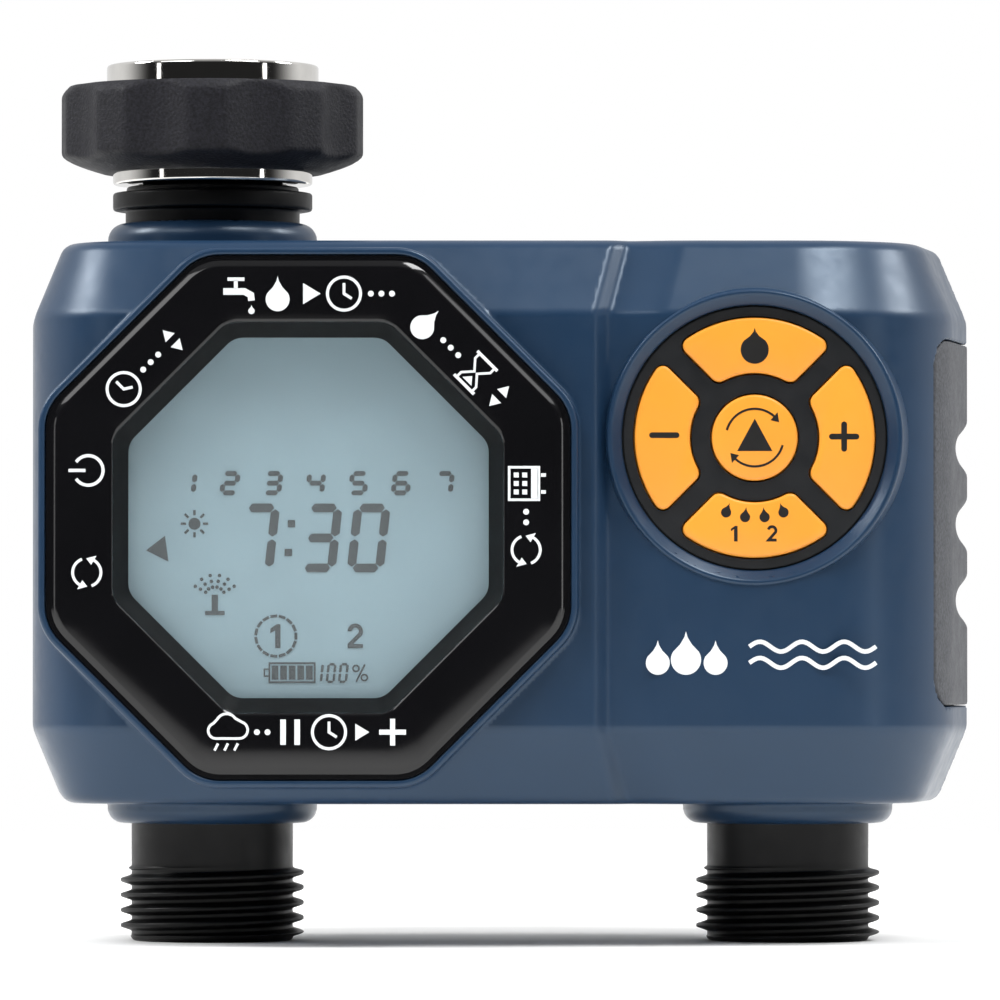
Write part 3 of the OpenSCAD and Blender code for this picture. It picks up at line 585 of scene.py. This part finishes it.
class Surface:
    """A procedural material. Sizes of its patterns are in millimetres."""

    def __init__(self, name, colour, rough, **settings):
        self.material = bpy.data.materials.new(name)
        self.material.use_nodes = True
        self.tree = self.material.node_tree
        self.shader = self.tree.nodes["Principled BSDF"]
        self.place = self.tree.nodes.new("ShaderNodeTexCoord").outputs["Object"]
        self.colour = linear(colour)
        self.rough = rough
        self.height = None
        self.shader.inputs["Roughness"].default_value = rough
        self.shader.inputs["Base Color"].default_value = (*self.colour, 1)
        for key, value in settings.items():
            self.shader.inputs[key.replace("_", " ")].default_value = value

    def node(self, kind, **inputs):
        made = self.tree.nodes.new("ShaderNode" + kind)
        for key, value in inputs.items():
            if isinstance(value, bpy.types.NodeSocket):
                self.tree.links.new(value, made.inputs[key.replace("_", " ")])
            else:
                made.inputs[key.replace("_", " ")].default_value = value
        return made

    def noise(self, size, detail=3, rough=0.5, stretch=None):
        vector = self.place
        if stretch:
            vector = self.node("Mapping", Vector=self.place, Scale=stretch).outputs["Vector"]
        made = self.node("TexNoise", Vector=vector, Scale=1 / (size * MM), Detail=detail, Roughness=rough)
        return made.outputs["Fac"]

    def blend(self, factor, one, two):
        made = self.tree.nodes.new("ShaderNodeMix")
        made.data_type = "RGBA"
        for socket, value in ((made.inputs["Factor"], factor), (made.inputs[6], one), (made.inputs[7], two)):
            if isinstance(value, bpy.types.NodeSocket):
                self.tree.links.new(value, socket)
            else:
                socket.default_value = value
        return made.outputs[2]

    def ramp(self, value, low, high):
        made = self.node("MapRange", Value=value)
        made.inputs["From Min"].default_value = low
        made.inputs["From Max"].default_value = high
        return made.outputs["Result"]

    def cloudy(self, size, amount):
        """Varies the colour in soft patches."""
        one = (*[c * (1 - amount) for c in self.colour], 1)
        two = (*[c * (1 + amount) for c in self.colour], 1)
        patches = self.blend(self.ramp(self.noise(size), 0.35, 0.65), one, two)
        self.tree.links.new(patches, self.shader.inputs["Base Color"])
        return self

    def uneven(self, size, amount, stretch=None):
        """Varies the gloss."""
        made = self.node("MapRange", Value=self.noise(size, 4, 0.6, stretch))
        made.inputs["From Min"].default_value = 0.3
        made.inputs["From Max"].default_value = 0.7
        made.inputs["To Min"].default_value = max(self.rough - amount, 0.02)
        made.inputs["To Max"].default_value = self.rough + amount
        self.tree.links.new(made.outputs["Result"], self.shader.inputs["Roughness"])
        return self

    def bump(self, height, depth):
        extra = {"Normal": self.height} if self.height else {}
        made = self.node("Bump", Height=height, Distance=depth * MM, Strength=1.0, **extra)
        self.height = made.outputs["Normal"]
        self.tree.links.new(self.height, self.shader.inputs["Normal"])
        return self

    def grain(self, size, depth, stretch=None):
        """A fine moulded texture."""
        return self.bump(self.noise(size, 2, 0.5, stretch), depth)


def plastic(name, colour, rough, grain=0.35, depth=0.004, vary=0.05, **settings):
    made = Surface(name, colour, rough, **settings).cloudy(14, vary)
    return made.uneven(3, rough * 0.12).grain(grain, depth)


def printed(name, colour, rough, **settings):
    """A smooth surface whose colour and gloss vary slightly."""
    return Surface(name, colour, rough, **settings).cloudy(9, 0.03).uneven(4, rough * 0.1)


def rubbery(name, colour, rough, size, amount, grain, **settings):
    """A finely mottled and grained surface. size and amount are the mottling's, grain the texture's size."""
    made = Surface(name, colour, rough, **settings).cloudy(size, amount)
    return made.uneven(3, 0.08).grain(grain, 0.12)


def metal(name, colour, rough, stretch=(1, 1, 1)):
    made = Surface(name, colour, rough, Metallic=1.0).cloudy(6, 0.06)
    return made.uneven(1.2, rough * 0.3, stretch).grain(0.25, 0.002, stretch=stretch)


surfaces = {
    "case_blue": plastic("navy_abs", "182e46", 0.33, 0.6, 0.0012, 0.04, Specular_Tint=(0.74, 0.87, 1, 1)),
    "black_gloss": plastic("gloss_black", "0d0d0f", 0.09, 2.5, 0.001, 0.1, Specular_IOR_Level=0.42),
    "window_clear": plastic("clear_window", "c9d6da", 0.05, 6, 0.001, 0.02, Alpha=0.07, IOR=1.49),
    "lcd_glass": printed("lcd_glass", "8099a3", 0.45),
    "lcd_ink": printed("lcd_ink", "17191b", 0.5),
    "frame_grey": plastic("frame_grey", "55575b", 0.5),
    "strip_rubber": plastic("strip_rubber", "d5d0ca", 0.7),
    "board_green": plastic("solder_mask", "1c5a33", 0.35, 1.2, 0.01, 0.15),
    "chip_black": plastic("epoxy", "151517", 0.5),
    "seal_rubber": plastic("seal_rubber", "131314", 0.6),
    "web_blue": plastic("web", "0b0e12", 0.42),
    "key_orange": plastic("orange_key", "ec9830", 0.4, 0.3, 0.002, 0.03),
    "grip_grey": rubbery("grip", "3a3c41", 0.6, 0.45, 0.35, 0.5),
    "tray_black": plastic("tray", "26272a", 0.5),
    "cell_wrap": plastic("cell_wrap", "b98a2c", 0.3),
    "contact_plate": metal("nickel", "cfc7ae", 0.28),
    "nut_chrome": metal("chrome", "dcdad6", 0.06),
    "coupling_black": rubbery("overmould", "19191e", 0.58, 0.4, 0.4, 0.45, Specular_IOR_Level=0.25),
    "spigot_black": plastic("spigot", "030304", 0.42, 0.5, 0.002, 0.1, Specular_IOR_Level=0.22),
    "filter_nylon": plastic("nylon", "d6d1c0", 0.5),
    "manifold_grey": plastic("glass_filled", "3b3e43", 0.55, 0.5, 0.012, 0.12),
    "poppet_white": plastic("acetal", "cdd0d3", 0.4),
    "steel": metal("zinc_steel", "c2c4c8", 0.3),
    "copper_coil": metal("enamelled_copper", "b0672f", 0.35, (1, 1, 8)),
    "lead_red": plastic("wire", "a8321f", 0.45),
}
looks = {slot: made.material for slot, made in surfaces.items()}
# A darker, duller copy of the bezel's black plastic: painted shade for the recessed wall round the window
wall_painted_shade = Surface("wall_painted_shade", "050506", 0.55, Specular_IOR_Level=0.25)
wall_painted_shade = wall_painted_shade.cloudy(9, 0.03).uneven(4, 0.05).material
white_print = printed("white_print", "dfe3e5", 0.5).material
cell_black = plastic("cell_black", "141416", 0.3).material
black_print = printed("black_print", "0c0b0b", 0.45).material

slot_nodes = {
    "case_blue": ["front_cover", "rear_cover"],
    "black_gloss": ["display_bezel"],
    "window_clear": ["display_window"],
    "lcd_glass": ["lcd_panel"],
    "lcd_ink": ["lcd_segments"],
    "frame_grey": ["lcd_frame", "control_box", "battery_bay"],
    "strip_rubber": ["contact_strips"],
    "board_green": ["main_board"],
    "chip_black": ["board_components", "tact_switches"],
    "seal_rubber": ["case_seal", "window_gasket", "keypad_seal", "tray_seal", "inlet_washer", "inlet_o_ring",
                    "outlet_o_rings", "diaphragm_1", "diaphragm_2"],
    "web_blue": ["keypad_surround"],
    "key_orange": ["button_water", "button_plus", "button_zone", "button_minus", "button_select"],
    "grip_grey": ["tray_grip"],
    "tray_black": ["battery_tray"],
    "cell_wrap": ["battery_1", "battery_2", "battery_3"],
    "contact_plate": ["bay_contacts", "tray_contacts"],
    "nut_chrome": ["coupling_nut"],
    "coupling_black": ["coupling_grip"],
    "spigot_black": ["inlet_tailpiece", "outlet_spigot_1", "outlet_spigot_2"],
    "filter_nylon": ["filter_screen"],
    "manifold_grey": ["valve_manifold", "valve_bonnet_1", "valve_bonnet_2"],
    "poppet_white": ["poppet_1", "poppet_2"],
    "steel": ["case_screws", "poppet_spring_1", "poppet_spring_2", "plunger_1", "plunger_2",
              "plunger_spring_1", "plunger_spring_2", "solenoid_yoke_1", "solenoid_yoke_2", "bonnet_screws"],
    "copper_coil": ["solenoid_coil_1", "solenoid_coil_2"],
    "lead_red": ["solenoid_leads"],
}
for slot, members in slot_nodes.items():
    for name in members:
        for place in nodes[name].material_slots:
            place.material = looks[slot]


# ---------------------------------------------------------------- the case


def blue(*replaces):
    return "case", looks["case_blue"], "case_blue", replaces


low = (-HALF_W - 1, POD_Y - 1, COLLAR_BASE - 1)
net_object("case_front", front_field, low, (HALF_W + 1, PORT_Y + 1, COLLAR_TOP + 1), 0.55, 0.55,
           *blue("front_cover"))
low = (-HALF_W - 1, PORT_Y - 1, COLLAR_BASE - 1)
net_object("case_rear", rear_field, low, (HALF_W + 1, REAR_Y + 1, COLLAR_TOP + 1), 0.65, 0.5,
           *blue("rear_cover"))
net_object("drawer_grip", grip_field, (tray_low[0] - 1, tray_low[1] - 1, tray_low[2] - 1),
           (HALF_W + 1, tray_high[1] + 1, tray_high[2] + 1), 0.4, 0.6,
           "battery_drawer", looks["grip_grey"], "grip_grey", ("tray_grip",))


def octagon_ring(af, r, y, n=6):
    """Points of a rounded octagon on the display's centre line."""
    points = []
    for i in range(8):
        a = math.radians(22.5 + 45 * i)
        c = (af / 2 - r) / math.cos(math.radians(22.5))
        for j in range(n + 1):
            b = math.radians(45 * i + 45 * j / n)
            across = c * math.cos(a) + r * math.cos(b)
            up = c * math.sin(a) + r * math.sin(b)
            points.append((DISPLAY_X + across, y, MID_Z + up))
    return points


def pod_rim():
    """The blue rim round the bezel."""
    steps = [(0.1, 8.0, 2.6), (0.1, 8.0, 1.05)]
    steps += [(0.1 - 1.0 * (1 - math.cos(t)), 8.0 - 0.3 * (1 - math.cos(t)), 1.05 - 0.65 * math.sin(t))
              for t in np.radians([15, 30, 45, 60, 75, 90])]
    steps += [(-1.6, 7.3, 0.4), (-1.78, 7.25, 0.44), (-1.85, 7.2, 0.52), (-1.85, 7.2, 2.1), (-3.6, 6.4, 2.1),
              (-3.6, 6.4, 2.6)]
    rings = [octagon_ring(POD_AF + a, r, POD_Y + y) for a, r, y in steps]
    return sharpen(face_out(loft("pod_rim", rings, "case", looks["case_blue"], "case_blue")), 50)


def bezel():
    """The black bezel, from its outer band over the bevel and the face to the sloping window walls."""
    face = POD_Y + 0.03
    glass = window_low[1]
    view = 51.2
    steps = [(74.4, 7.0, POD_Y + 2), (74.4, 7.0, POD_Y + 0.82), (74.32, 6.96, POD_Y + 0.7),
             (74.1, 6.9, POD_Y + 0.64), (72.9, 6.6, POD_Y + 0.64), (72.82, 6.58, POD_Y + 0.58),
             (72.78, 6.56, POD_Y + 0.52), (72.62, 6.5, POD_Y + 0.46), (71.5, 6.1, POD_Y + 0.12),
             (71.2, 6.0, face + 0.03), (70.8, 5.9, face), (56.3, 4.1, face), (55.9, 4.0, face + 0.04),
             (55.5, 3.8, face + 0.17), (55.25, 3.7, face + 0.4)]
    wall_row = len(steps) - 1
    steps += [(view, 3.2, glass - 0.03), (view, 3.2, glass), (61.4, 3.0, glass), (61.4, 3.0, glass - 0.9),
              (72.0, 5.8, glass - 0.9), (72.0, 5.8, POD_Y + 2)]
    rings = [octagon_ring(af, r, y) for af, r, y in steps]
    o = loft("bezel", rings, "case", looks["black_gloss"], "black_gloss", ("display_bezel",))
    # The sloping wall round the window gets a darker, duller copy of the face's black: painted shade on the
    # recessed wall
    o.data.materials.append(wall_painted_shade)
    for polygon in o.data.polygons:
        polygon.material_index = int(polygon.index // len(rings[0]) == wall_row)
    return sharpen(face_out(o), 22)


pod_rim()
bezel()


def ring_y(x, z, rows, n=120):
    """Circles round an axis along Y, one for each (radius, y)."""
    a = np.arange(n) * 2 * math.pi / n
    return [np.stack([x + r * np.cos(a), np.full(n, float(y)), z + r * np.sin(a)], 1) for r, y in rows]


def keypad_rim():
    """The cone that carries the buttons, with its rounded rim and its countersunk edge."""
    top = FRONT_Y - 0.3
    rows = [(20.97 + 0.172 * h, top + h) for h in (17, 12, 8, 5, 3, 2, 1.2, 0.6, 0.3)]
    rows += [(20.95, top + 0.15), (20.82, top + 0.03), (20.6, top), (20.36, top + 0.05), (20.2, top + 0.2),
             (19.1, top + 1.15), (18.96, top + 1.3), (18.9, top + 1.5), (18.9, top + 2.5), (20.4, top + 2.5),
             (20.4, top + 17)]
    o = loft("keypad_rim", ring_y(KEYS_X, KEYS_Z, rows, 180), "case", looks["case_blue"], "case_blue")
    return sharpen(face_out(o), 50)


keypad_rim()


# ---------------------------------------------------------------- the keypad


def key_field(x, z):
    """Distance from the upper button, between two circles and two diagonal spokes."""
    r = np.hypot(x, z)
    spoke = (np.abs(x) - z + 3.3 * math.sqrt(0.5)) * math.sqrt(0.5)
    return np.maximum(fillet(r - 17.05, spoke, 1.3, -0.1), fillet(9.2 - r, spoke, 1.3, 0.18))


def key_outline(inset, n=240):
    """The upper button's outline, found along rays from its middle."""
    a = np.arange(n) * 2 * math.pi / n
    near, far = np.zeros(n), np.full(n, 14.0)
    for _ in range(40):
        t = (near + far) / 2
        inside = key_field(t * np.cos(a), 13.2 + t * np.sin(a)) < -inset
        near, far = np.where(inside, t, near), np.where(inside, far, t)
    return np.stack([near * np.cos(a), 13.2 + near * np.sin(a)], 1)


CAP_Y = select_low[1]
CAP_BACK = web_high[1] + 0.1
# A button's section from its back to its face, as (inset from its outline, y)
KEY_STEPS = [(-0.8, CAP_BACK + 0.8), (-0.8, CAP_BACK), (0.0, CAP_BACK + 0.1), (0.0, CAP_Y + 0.42),
             (0.06, CAP_Y + 0.2), (0.2, CAP_Y + 0.06), (0.42, CAP_Y)]


def key_piece(name, node, body, turn, outline, spot):
    """A cap with soft edges, its flange behind the surround and its post."""
    a = math.radians(turn)
    m = np.array([[math.cos(a), math.sin(a)], [-math.sin(a), math.cos(a)]])

    def ring_at(inset, y):
        flat = outline(inset) @ m
        return np.stack([KEYS_X + flat[:, 0], np.full(len(flat), y), KEYS_Z + flat[:, 1]], 1)

    rings = [ring_at(inset, y) for inset, y in KEY_STEPS]
    cap = capped(name, rings, body, looks["key_orange"], "key_orange", (node,))
    sharpen(face_out(cap), 40)
    rings = ring_y(KEYS_X + spot[0], KEYS_Z + spot[1], [(2.2, box_mm(node)[1][1]), (2.2, CAP_BACK + 0.4)], 32)
    sharpen(face_out(capped(name + "_post", rings, body, looks["key_orange"], "key_orange")), 40)


def select_outline(inset):
    return arc(0, 0, 6.1 - inset, 0, 360, 73)[:-1]


keys = [("water", 0, key_outline, (0, 13.2)), ("plus", 270, key_outline, (13.2, 0)),
        ("zone", 180, key_outline, (0, -13.2)), ("minus", 90, key_outline, (-13.2, 0)),
        ("select", 0, select_outline, (0, 0))]
for name, turn, outline, spot in keys:
    key_piece("key_" + name, "button_" + name, name + "_key", turn, outline, spot)

INK = 0.03


def cross(x, z, reach, width, arms=4):
    """A plus or minus sign with round ends."""
    w = width / 2
    points = []
    for k in range(arms):
        a = 2 * math.pi * k / arms
        end = arc(reach - w, 0, w, -90, 90, 9)
        corner = [(w, w)] if arms == 4 else []
        turned_by = np.array([[math.cos(a), math.sin(a)], [-math.sin(a), math.cos(a)]])
        points += [tuple(q @ turned_by + (x, z)) for q in [*end, *np.array(corner).reshape(-1, 2)]]
    return plate(points)


def key_mark(name, marks):
    """Prints marks, placed from the keypad's middle, on a button."""
    stamp("mark_" + name, placed(marks, KEYS_X, KEYS_Z), CAP_Y, INK, name + "_key", black_print, "key_orange")


key_mark("water", [drop(0, 10.5, 4.0, 5.1)])
key_mark("plus", [cross(12.7, 0.15, 2.15, 0.82)])
key_mark("minus", [cross(-12.85, 0.35, 2.15, 0.8, 2)])
one = [plate([(-2.95, -14.75), (-2.45, -14.75), (-2.45, -12.55), (-2.8, -12.55), (-3.4, -12.95), (-3.4, -13.3),
              (-2.95, -13.0)])]
two = [ribbon([*arc(2.45, -13.2, 0.55, 165, -25, 10), (1.95, -14.56), (3.1, -14.56)], 0.4)]
drops = []
for t in (-21, -7, 7, 21):
    drops += placed([drop(0, -12.1, 1.45, 2.15)], 0, 0, t)
key_mark("zone", one + two + drops)
circling = arrow(0, 0, 4.1, 165, 48, 0.32, 0.75) + arrow(0, 0, 4.1, -15, -132, 0.32, 0.75)
key_mark("select", [plate([(-2.5, -1.9), (2.5, -1.9), (0, 2.7)])] + circling)


# ---------------------------------------------------------------- prints on the bezel and the case

def tap():
    """A tap: its spout, its handle and a falling drop."""
    spout = [(-2.4, 0.3), (0.6, 0.3), (1.5, -0.2), (1.6, -1)]
    handle = [bar(-0.9, 0.7, -0.35, 1.9), bar(-1.8, 1.8, 0.6, 2.3)]
    return [ribbon(spout, 0.95)] + handle + [drop(1.6, -2.9, 0.9, 1.3)]


def triangle(x, size=1.0):
    return plate([(x - 1.1 * size, -1.5 * size), (x + 1.4 * size, 0), (x - 1.1 * size, 1.5 * size)])


def dots(*across):
    return [disc(x, 0, 0.42) for x in across]


def plus(x):
    upright = [bar(x - 0.36, 0.36, x + 0.36, 1.9), bar(x - 0.36, -1.9, x + 0.36, -0.36)]
    return [ribbon([(x - 1.9, 0), (x + 1.9, 0)], 0.72)] + upright


# The distance from the display's middle to the middle of the bezel's band
BAND = 31.3
# Each label has its direction from the middle, its rise from the band's middle, its turn and its marks
labels = [
    (90, 0.4, 0, placed(tap(), -9.6, 0) + [drop(-4.3, -2.5, 3.4, 5), triangle(0.4)] + placed(clock(), 5.1, 0)
     + dots(8.9, 10.4, 11.9)),
    (135, 0, 45, placed(clock(), -5.6, 0) + dots(-1.7, -0.2, 1.3) + placed(up_down(), 4.2, 0)),
    (45, 0, -45, [drop(-7.6, -2.5, 3.4, 5)] + dots(-4.2, -2.7, -1.2) + placed(hourglass(), 2.3, 0)
     + placed(up_down(), 7, 0)),
    (0, -0.4, -90, placed(calendar(), -4.8, -0.2) + dots(-0.8, 0.7) + placed(cycle(), 4.6, 0)),
    (168, 0, 90, power()),
    (194, 0, 90, cycle()),
    (270, -0.9, 0, placed(cloud(), -11.4, 0.5) + dots(-7.2, -5.7)
     + [bar(-3.9, -1.8, -3.1, 1.8), bar(-1.9, -1.8, -1.1, 1.8)] + placed(clock(), 3, 0) + [triangle(7.6, 0.8)]
     + plus(12)),
]
for i, (angle, rise, turn, marks) in enumerate(labels):
    a = math.radians(angle)
    # Two labels share the left side, so they lie on its line and not on its middle
    edge = BAND / abs(math.cos(a)) if angle in (168, 194) else BAND + rise
    spot = placed(marks, DISPLAY_X + edge * math.cos(a), MID_Z + edge * math.sin(a), turn)
    stamp(f"label_{i + 1}", spot, POD_Y + 0.03, 0.02, "case", white_print, "black_gloss")

wave = [ribbon([(0.4 * i, 0.7 * math.sin(0.4 * i * 1.05) + b) for i in range(46)], 0.62) for b in (1.2, -1.1)]
emblem = [drop(-11.4, -2.8, 3.4, 4.9), drop(-7.4, -2.8, 4.3, 6.2), drop(-3.2, -2.8, 3.4, 4.9)]
emblem = placed(emblem + placed(wave, 1.6, 0), KEYS_X - 2.4, MIDDLE - 19)
stamp("emblem", emblem, FRONT_Y, 0.02, "case", white_print, "case_blue")


# ---------------------------------------------------------------- water fittings

PITCH = 2.209


def spigot(side, number):
    rows = [(8.8, 0.0), (11.3, 0.0), (11.6, 0.12), (11.8, 0.35)]
    rows += [(11.8, z) for z in np.arange(0.45, 11.2, 0.11)]
    rows += turned([(11.8, 11.3), (11.8, 22.9), (13.2, 22.9), (13.2, 25.1), (10.2, 25.1), (10.2, 32),
                    (8.5, 32), (8.5, 0.4)], 0.35)[2:]
    o = lathe(f"outlet_{number}", side * PORT_X, PORT_Y, rows, "case", looks["spigot_black"], "spigot_black",
              (f"outlet_spigot_{number}",), thread=(1.6, PITCH, 0.35, 11.0))
    return face_out(o)


spigot(-1, 1)
spigot(1, 2)


def tailpiece():
    base = tail_low[2]
    flange = COLLAR_TOP + 1.9
    shoulder = nut_low[2] - 0.3
    top = tail_high[2]
    rows = turned([(8, base), (10, base), (10, base + 5.9), (12.75, base + 5.9), (12.75, flange),
                   (14.6, flange), (14.6, flange + 2.6), (12.6, flange + 2.6), (12.6, shoulder), (10.2, shoulder),
                   (10.2, top - 1.9), (12, top - 1.9), (12, top), (8, top)], 0.45)
    o = lathe("tailpiece", -PORT_X, PORT_Y, rows, "case", looks["spigot_black"], "spigot_black",
              ("inlet_tailpiece",))
    return sharpen(face_out(o), 40)


def nut():
    z0, z1 = nut_low[2], nut_high[2]
    rows = turned([(10.7, z0), (14.6, z0), (14.6, z0 + 5.7), (15.5, z0 + 6.1), (15.5, z1), (13.6, z1)],
                  0.5, 5)
    rows += [(13.5, z) for z in np.arange(z1 - 0.6, z1 - 10.9, -0.11)]
    rows += turned([(13.5, z1 - 11), (13.5, z0 + 1.4), (10.7, z0 + 1.4)], 0.2)
    o = lathe("nut", -PORT_X, PORT_Y, rows, "inlet_coupling", looks["nut_chrome"], "nut_chrome",
              ("coupling_nut",), thread=(-1.1, PITCH, z1 - 11, z1 - 0.9))
    return face_out(o)


def lobe_radius(a):
    """The hand grip's radius at angles a: nine flat lobes with shallow valleys between them."""
    u = np.abs((a + 90 + 20) % 40 - 20)
    lobe_r, lobe_end = 22.2, 7.1
    valley_r, valley_start = 20.9, 16.6
    lobe = lobe_r * math.cos(math.radians(lobe_end)) / np.cos(np.radians(u))
    valley = valley_r * math.cos(math.radians(20 - valley_start)) / np.cos(np.radians(20 - u))
    # The flank is the straight line between the end of the lobe and the start of the valley
    x0, z0 = lobe_r * math.cos(math.radians(lobe_end)), lobe_r * math.sin(math.radians(lobe_end))
    x1, z1 = valley_r * math.cos(math.radians(valley_start)), valley_r * math.sin(math.radians(valley_start))
    n = np.array([z1 - z0, x0 - x1])
    flank = (n[0] * x0 + n[1] * z0) / (n[0] * np.cos(np.radians(u)) + n[1] * np.sin(np.radians(u)))
    r = np.where(u < lobe_end, lobe, np.where(u > valley_start, valley, flank))
    kernel = np.exp(-np.linspace(-2, 2, 13) ** 2)
    kernel /= kernel.sum()
    return sum(k * np.roll(r, i - 6) for i, k in enumerate(kernel))


def hand_grip():
    """The lobed hand grip, with its lower and upper edges cut to cones."""
    steps = 540
    height = 12.6
    a = np.arange(steps) * 360 / steps
    t = np.radians(a)
    r = lobe_radius(a)
    bottom, top = grip_low[2], grip_high[2]

    def ring_at(radius, z):
        x = -PORT_X + radius * np.cos(t)
        return np.stack([x, PORT_Y + radius * np.sin(t), np.full(steps, z)], 1)

    rings = []
    heights = [np.linspace(0, 3.4, 10), np.linspace(4, 10.4, 6), np.linspace(10.9, height, 8)]
    for h in np.concatenate(heights):
        low_cone = 16.2 + 6.6 * (1 - (1 - min(h / 3.2, 1)) ** 1.7)
        cone = np.full(steps, min(low_cone, 21 + height - h))
        rings.append(ring_at(-fillet_pair(-r, -cone, 0.7), bottom + h))
    ledge = nut_low[2] + 5.2
    for radius, z in ((15.5, top), (15.5, ledge), (14.6, ledge), (14.6, bottom)):
        rings.append(ring_at(radius, z))
    o = loft("hand_grip", rings, "inlet_coupling", looks["coupling_black"], "coupling_black",
             ("coupling_grip",))
    return sharpen(face_out(o), 50)


def fillet_pair(a, b, r):
    """The larger of a and b, with the corner between them rounded over r."""
    h = np.maximum(r - np.abs(a - b), 0) / r
    return np.maximum(a, b) + h * h * r / 4


def cell(number, flip):
    """A battery: its wrapped can with rolled-in ends, a metal button at one end and a plate at the other."""
    low, high = box_mm(f"battery_{number}")
    y, z = (low[1:] + high[1:]) / 2
    r = (high[2] - low[2]) / 2
    long = high[0] - low[0]

    def part(name, rows, material, *more):
        rows = [(radius, high[0] - h if flip else low[0] + h) for radius, h in rows]
        o = lathe(name, y, z, rows, "battery_drawer", material, "cell_wrap", *more, axis="x", steps=64)
        sharpen(face_out(o), 30)

    can = turned([(5.2, 0.35), (6.6, 0.35), (r, 0.75), (r, long - 1.9), (6.4, long - 1.25), (5.6, long - 1.25),
                  (5.6, long - 2.2), (5.2, long - 2.2)], 0.35)
    band_low = long * 0.72
    band = [(r, band_low), (r + 0.02, band_low + 0.05), (r + 0.02, long - 2.4), (r, long - 2.35),
            (r - 0.3, long - 2.5), (r - 0.3, band_low + 0.1)]
    ends = [[(0.02, 0.05), (4.9, 0.05), (5.15, 0.3), (5.15, 0.9), (0.02, 0.9)],
            [(0.02, long), (2.5, long), (2.7, long - 0.2), (2.7, long - 1.2), (5.5, long - 1.35),
             (5.5, long - 2.1), (0.02, long - 2.1)]]
    part(f"cell_{number}", can, looks["cell_wrap"], (f"battery_{number}",))
    part(f"cell_{number}_band", band, cell_black)
    for i, rows in enumerate(ends):
        part(f"cell_{number}_end_{i + 1}", rows, looks["steel"])


tailpiece()
nut()
hand_grip()
for number in (1, 2, 3):
    cell(number, number == 2)


# ---------------------------------------------------------------- studio


def floor():
    """A round paper floor whose rim fades out, so that no horizon shows."""
    mesh = bpy.data.meshes.new("floor")
    radius = 0.9
    edge = [(radius * math.cos(t), radius * math.sin(t), 0) for t in np.arange(96) * math.pi / 48]
    mesh.from_pydata(edge, [], [list(range(96))])
    o = bpy.data.objects.new("floor", mesh)
    bpy.context.scene.collection.objects.link(o)
    paper = plastic("floor_paper", "efefee", 0.8, 2, 0.01, 0.01)
    away = paper.node("VectorMath", Vector=paper.place)
    away.operation = "LENGTH"
    fade = paper.ramp(away.outputs["Value"], 0.75, 0.2)
    paper.tree.links.new(fade, paper.shader.inputs["Alpha"])
    mesh.materials.append(paper.material)


def softbox(name, azimuth, elevation, size, power, mirrored=True, distance=1.5):
    """An area light that faces the object. Azimuth 0 is the front, and it grows to the right."""
    a, e = math.radians(azimuth), math.radians(elevation)
    light = bpy.data.lights.new(name, "AREA")
    light.shape = "RECTANGLE"
    light.size, light.size_y = size
    light.energy = power
    o = bpy.data.objects.new(name, light)
    o.location = (distance * math.cos(e) * math.sin(a), -distance * math.cos(e) * math.cos(a),
                  0.07 + distance * math.sin(e))
    o.rotation_euler = (math.radians(90) - e, 0, a)
    o.visible_glossy = mirrored
    bpy.context.scene.collection.objects.link(o)


def sky():
    """A studio that is dark in front, grey above and white behind."""
    world = bpy.data.worlds.new("studio")
    world.use_nodes = True
    bpy.context.scene.world = world
    tree = world.node_tree
    background = tree.nodes["Background"]
    axes = tree.nodes.new("ShaderNodeSeparateXYZ")
    tree.links.new(tree.nodes.new("ShaderNodeTexCoord").outputs["Generated"], axes.inputs[0])

    def ramp(socket, low, high, first, last):
        made = tree.nodes.new("ShaderNodeMapRange")
        made.interpolation_type = "SMOOTHSTEP"
        tree.links.new(socket, made.inputs["Value"])
        for key, value in (("From Min", low), ("From Max", high), ("To Min", first), ("To Max", last)):
            made.inputs[key].default_value = value
        return made.outputs["Result"]

    up = ramp(axes.outputs["Z"], 0.25, 0.85, 0.0, 0.42)
    back = ramp(axes.outputs["Y"], -0.35, 0.45, 0.02, 0.85)
    total = tree.nodes.new("ShaderNodeMath")
    total.operation = "MAXIMUM"
    tree.links.new(up, total.inputs[0])
    tree.links.new(back, total.inputs[1])
    tree.links.new(total.outputs[0], background.inputs["Strength"])
    white = tree.nodes.new("ShaderNodeBackground")
    white.inputs["Strength"].default_value = 1.0
    for shade in (background, white):
        shade.inputs["Color"].default_value = (1, 1, 1, 1)
    mix = tree.nodes.new("ShaderNodeMixShader")
    tree.links.new(tree.nodes.new("ShaderNodeLightPath").outputs["Is Camera Ray"], mix.inputs["Fac"])
    tree.links.new(background.outputs[0], mix.inputs[1])
    tree.links.new(white.outputs[0], mix.inputs[2])
    tree.links.new(mix.outputs[0], tree.nodes["World Output"].inputs["Surface"])


def camera():
    data = bpy.data.cameras.new("camera")
    data.lens = 295
    data.sensor_width = 36
    data.clip_start = 0.05
    data.clip_end = 50
    o = bpy.data.objects.new("camera", data)
    o.location = (0, PORT_Y * MM - 1.2, 0.0424)
    o.rotation_euler = (math.radians(90 + 1.05), 0, 0)
    bpy.context.scene.collection.objects.link(o)
    bpy.context.scene.camera = o


floor()
softbox("softbox_left", -46, 59, (0.64, 0.42), 16, False)
softbox("side_left", -90, 34, (0.4, 0.45), 12)
softbox("side_right", 95, 34, (0.4, 0.45), 9)
softbox("strip_left", -60, 2, (0.12, 0.7), 0.6)
softbox("strip_right", 60, 2, (0.12, 0.7), 1.0)
softbox("card_left", -44, 38, (0.85, 0.32), 3.6)
softbox("card_right", 51, 38, (0.3, 0.3), 1.0)
softbox("softbox_right", 46, 59, (0.64, 0.42), 16)
sky()
camera()
bpy.context.scene.view_settings.view_transform = "Standard"
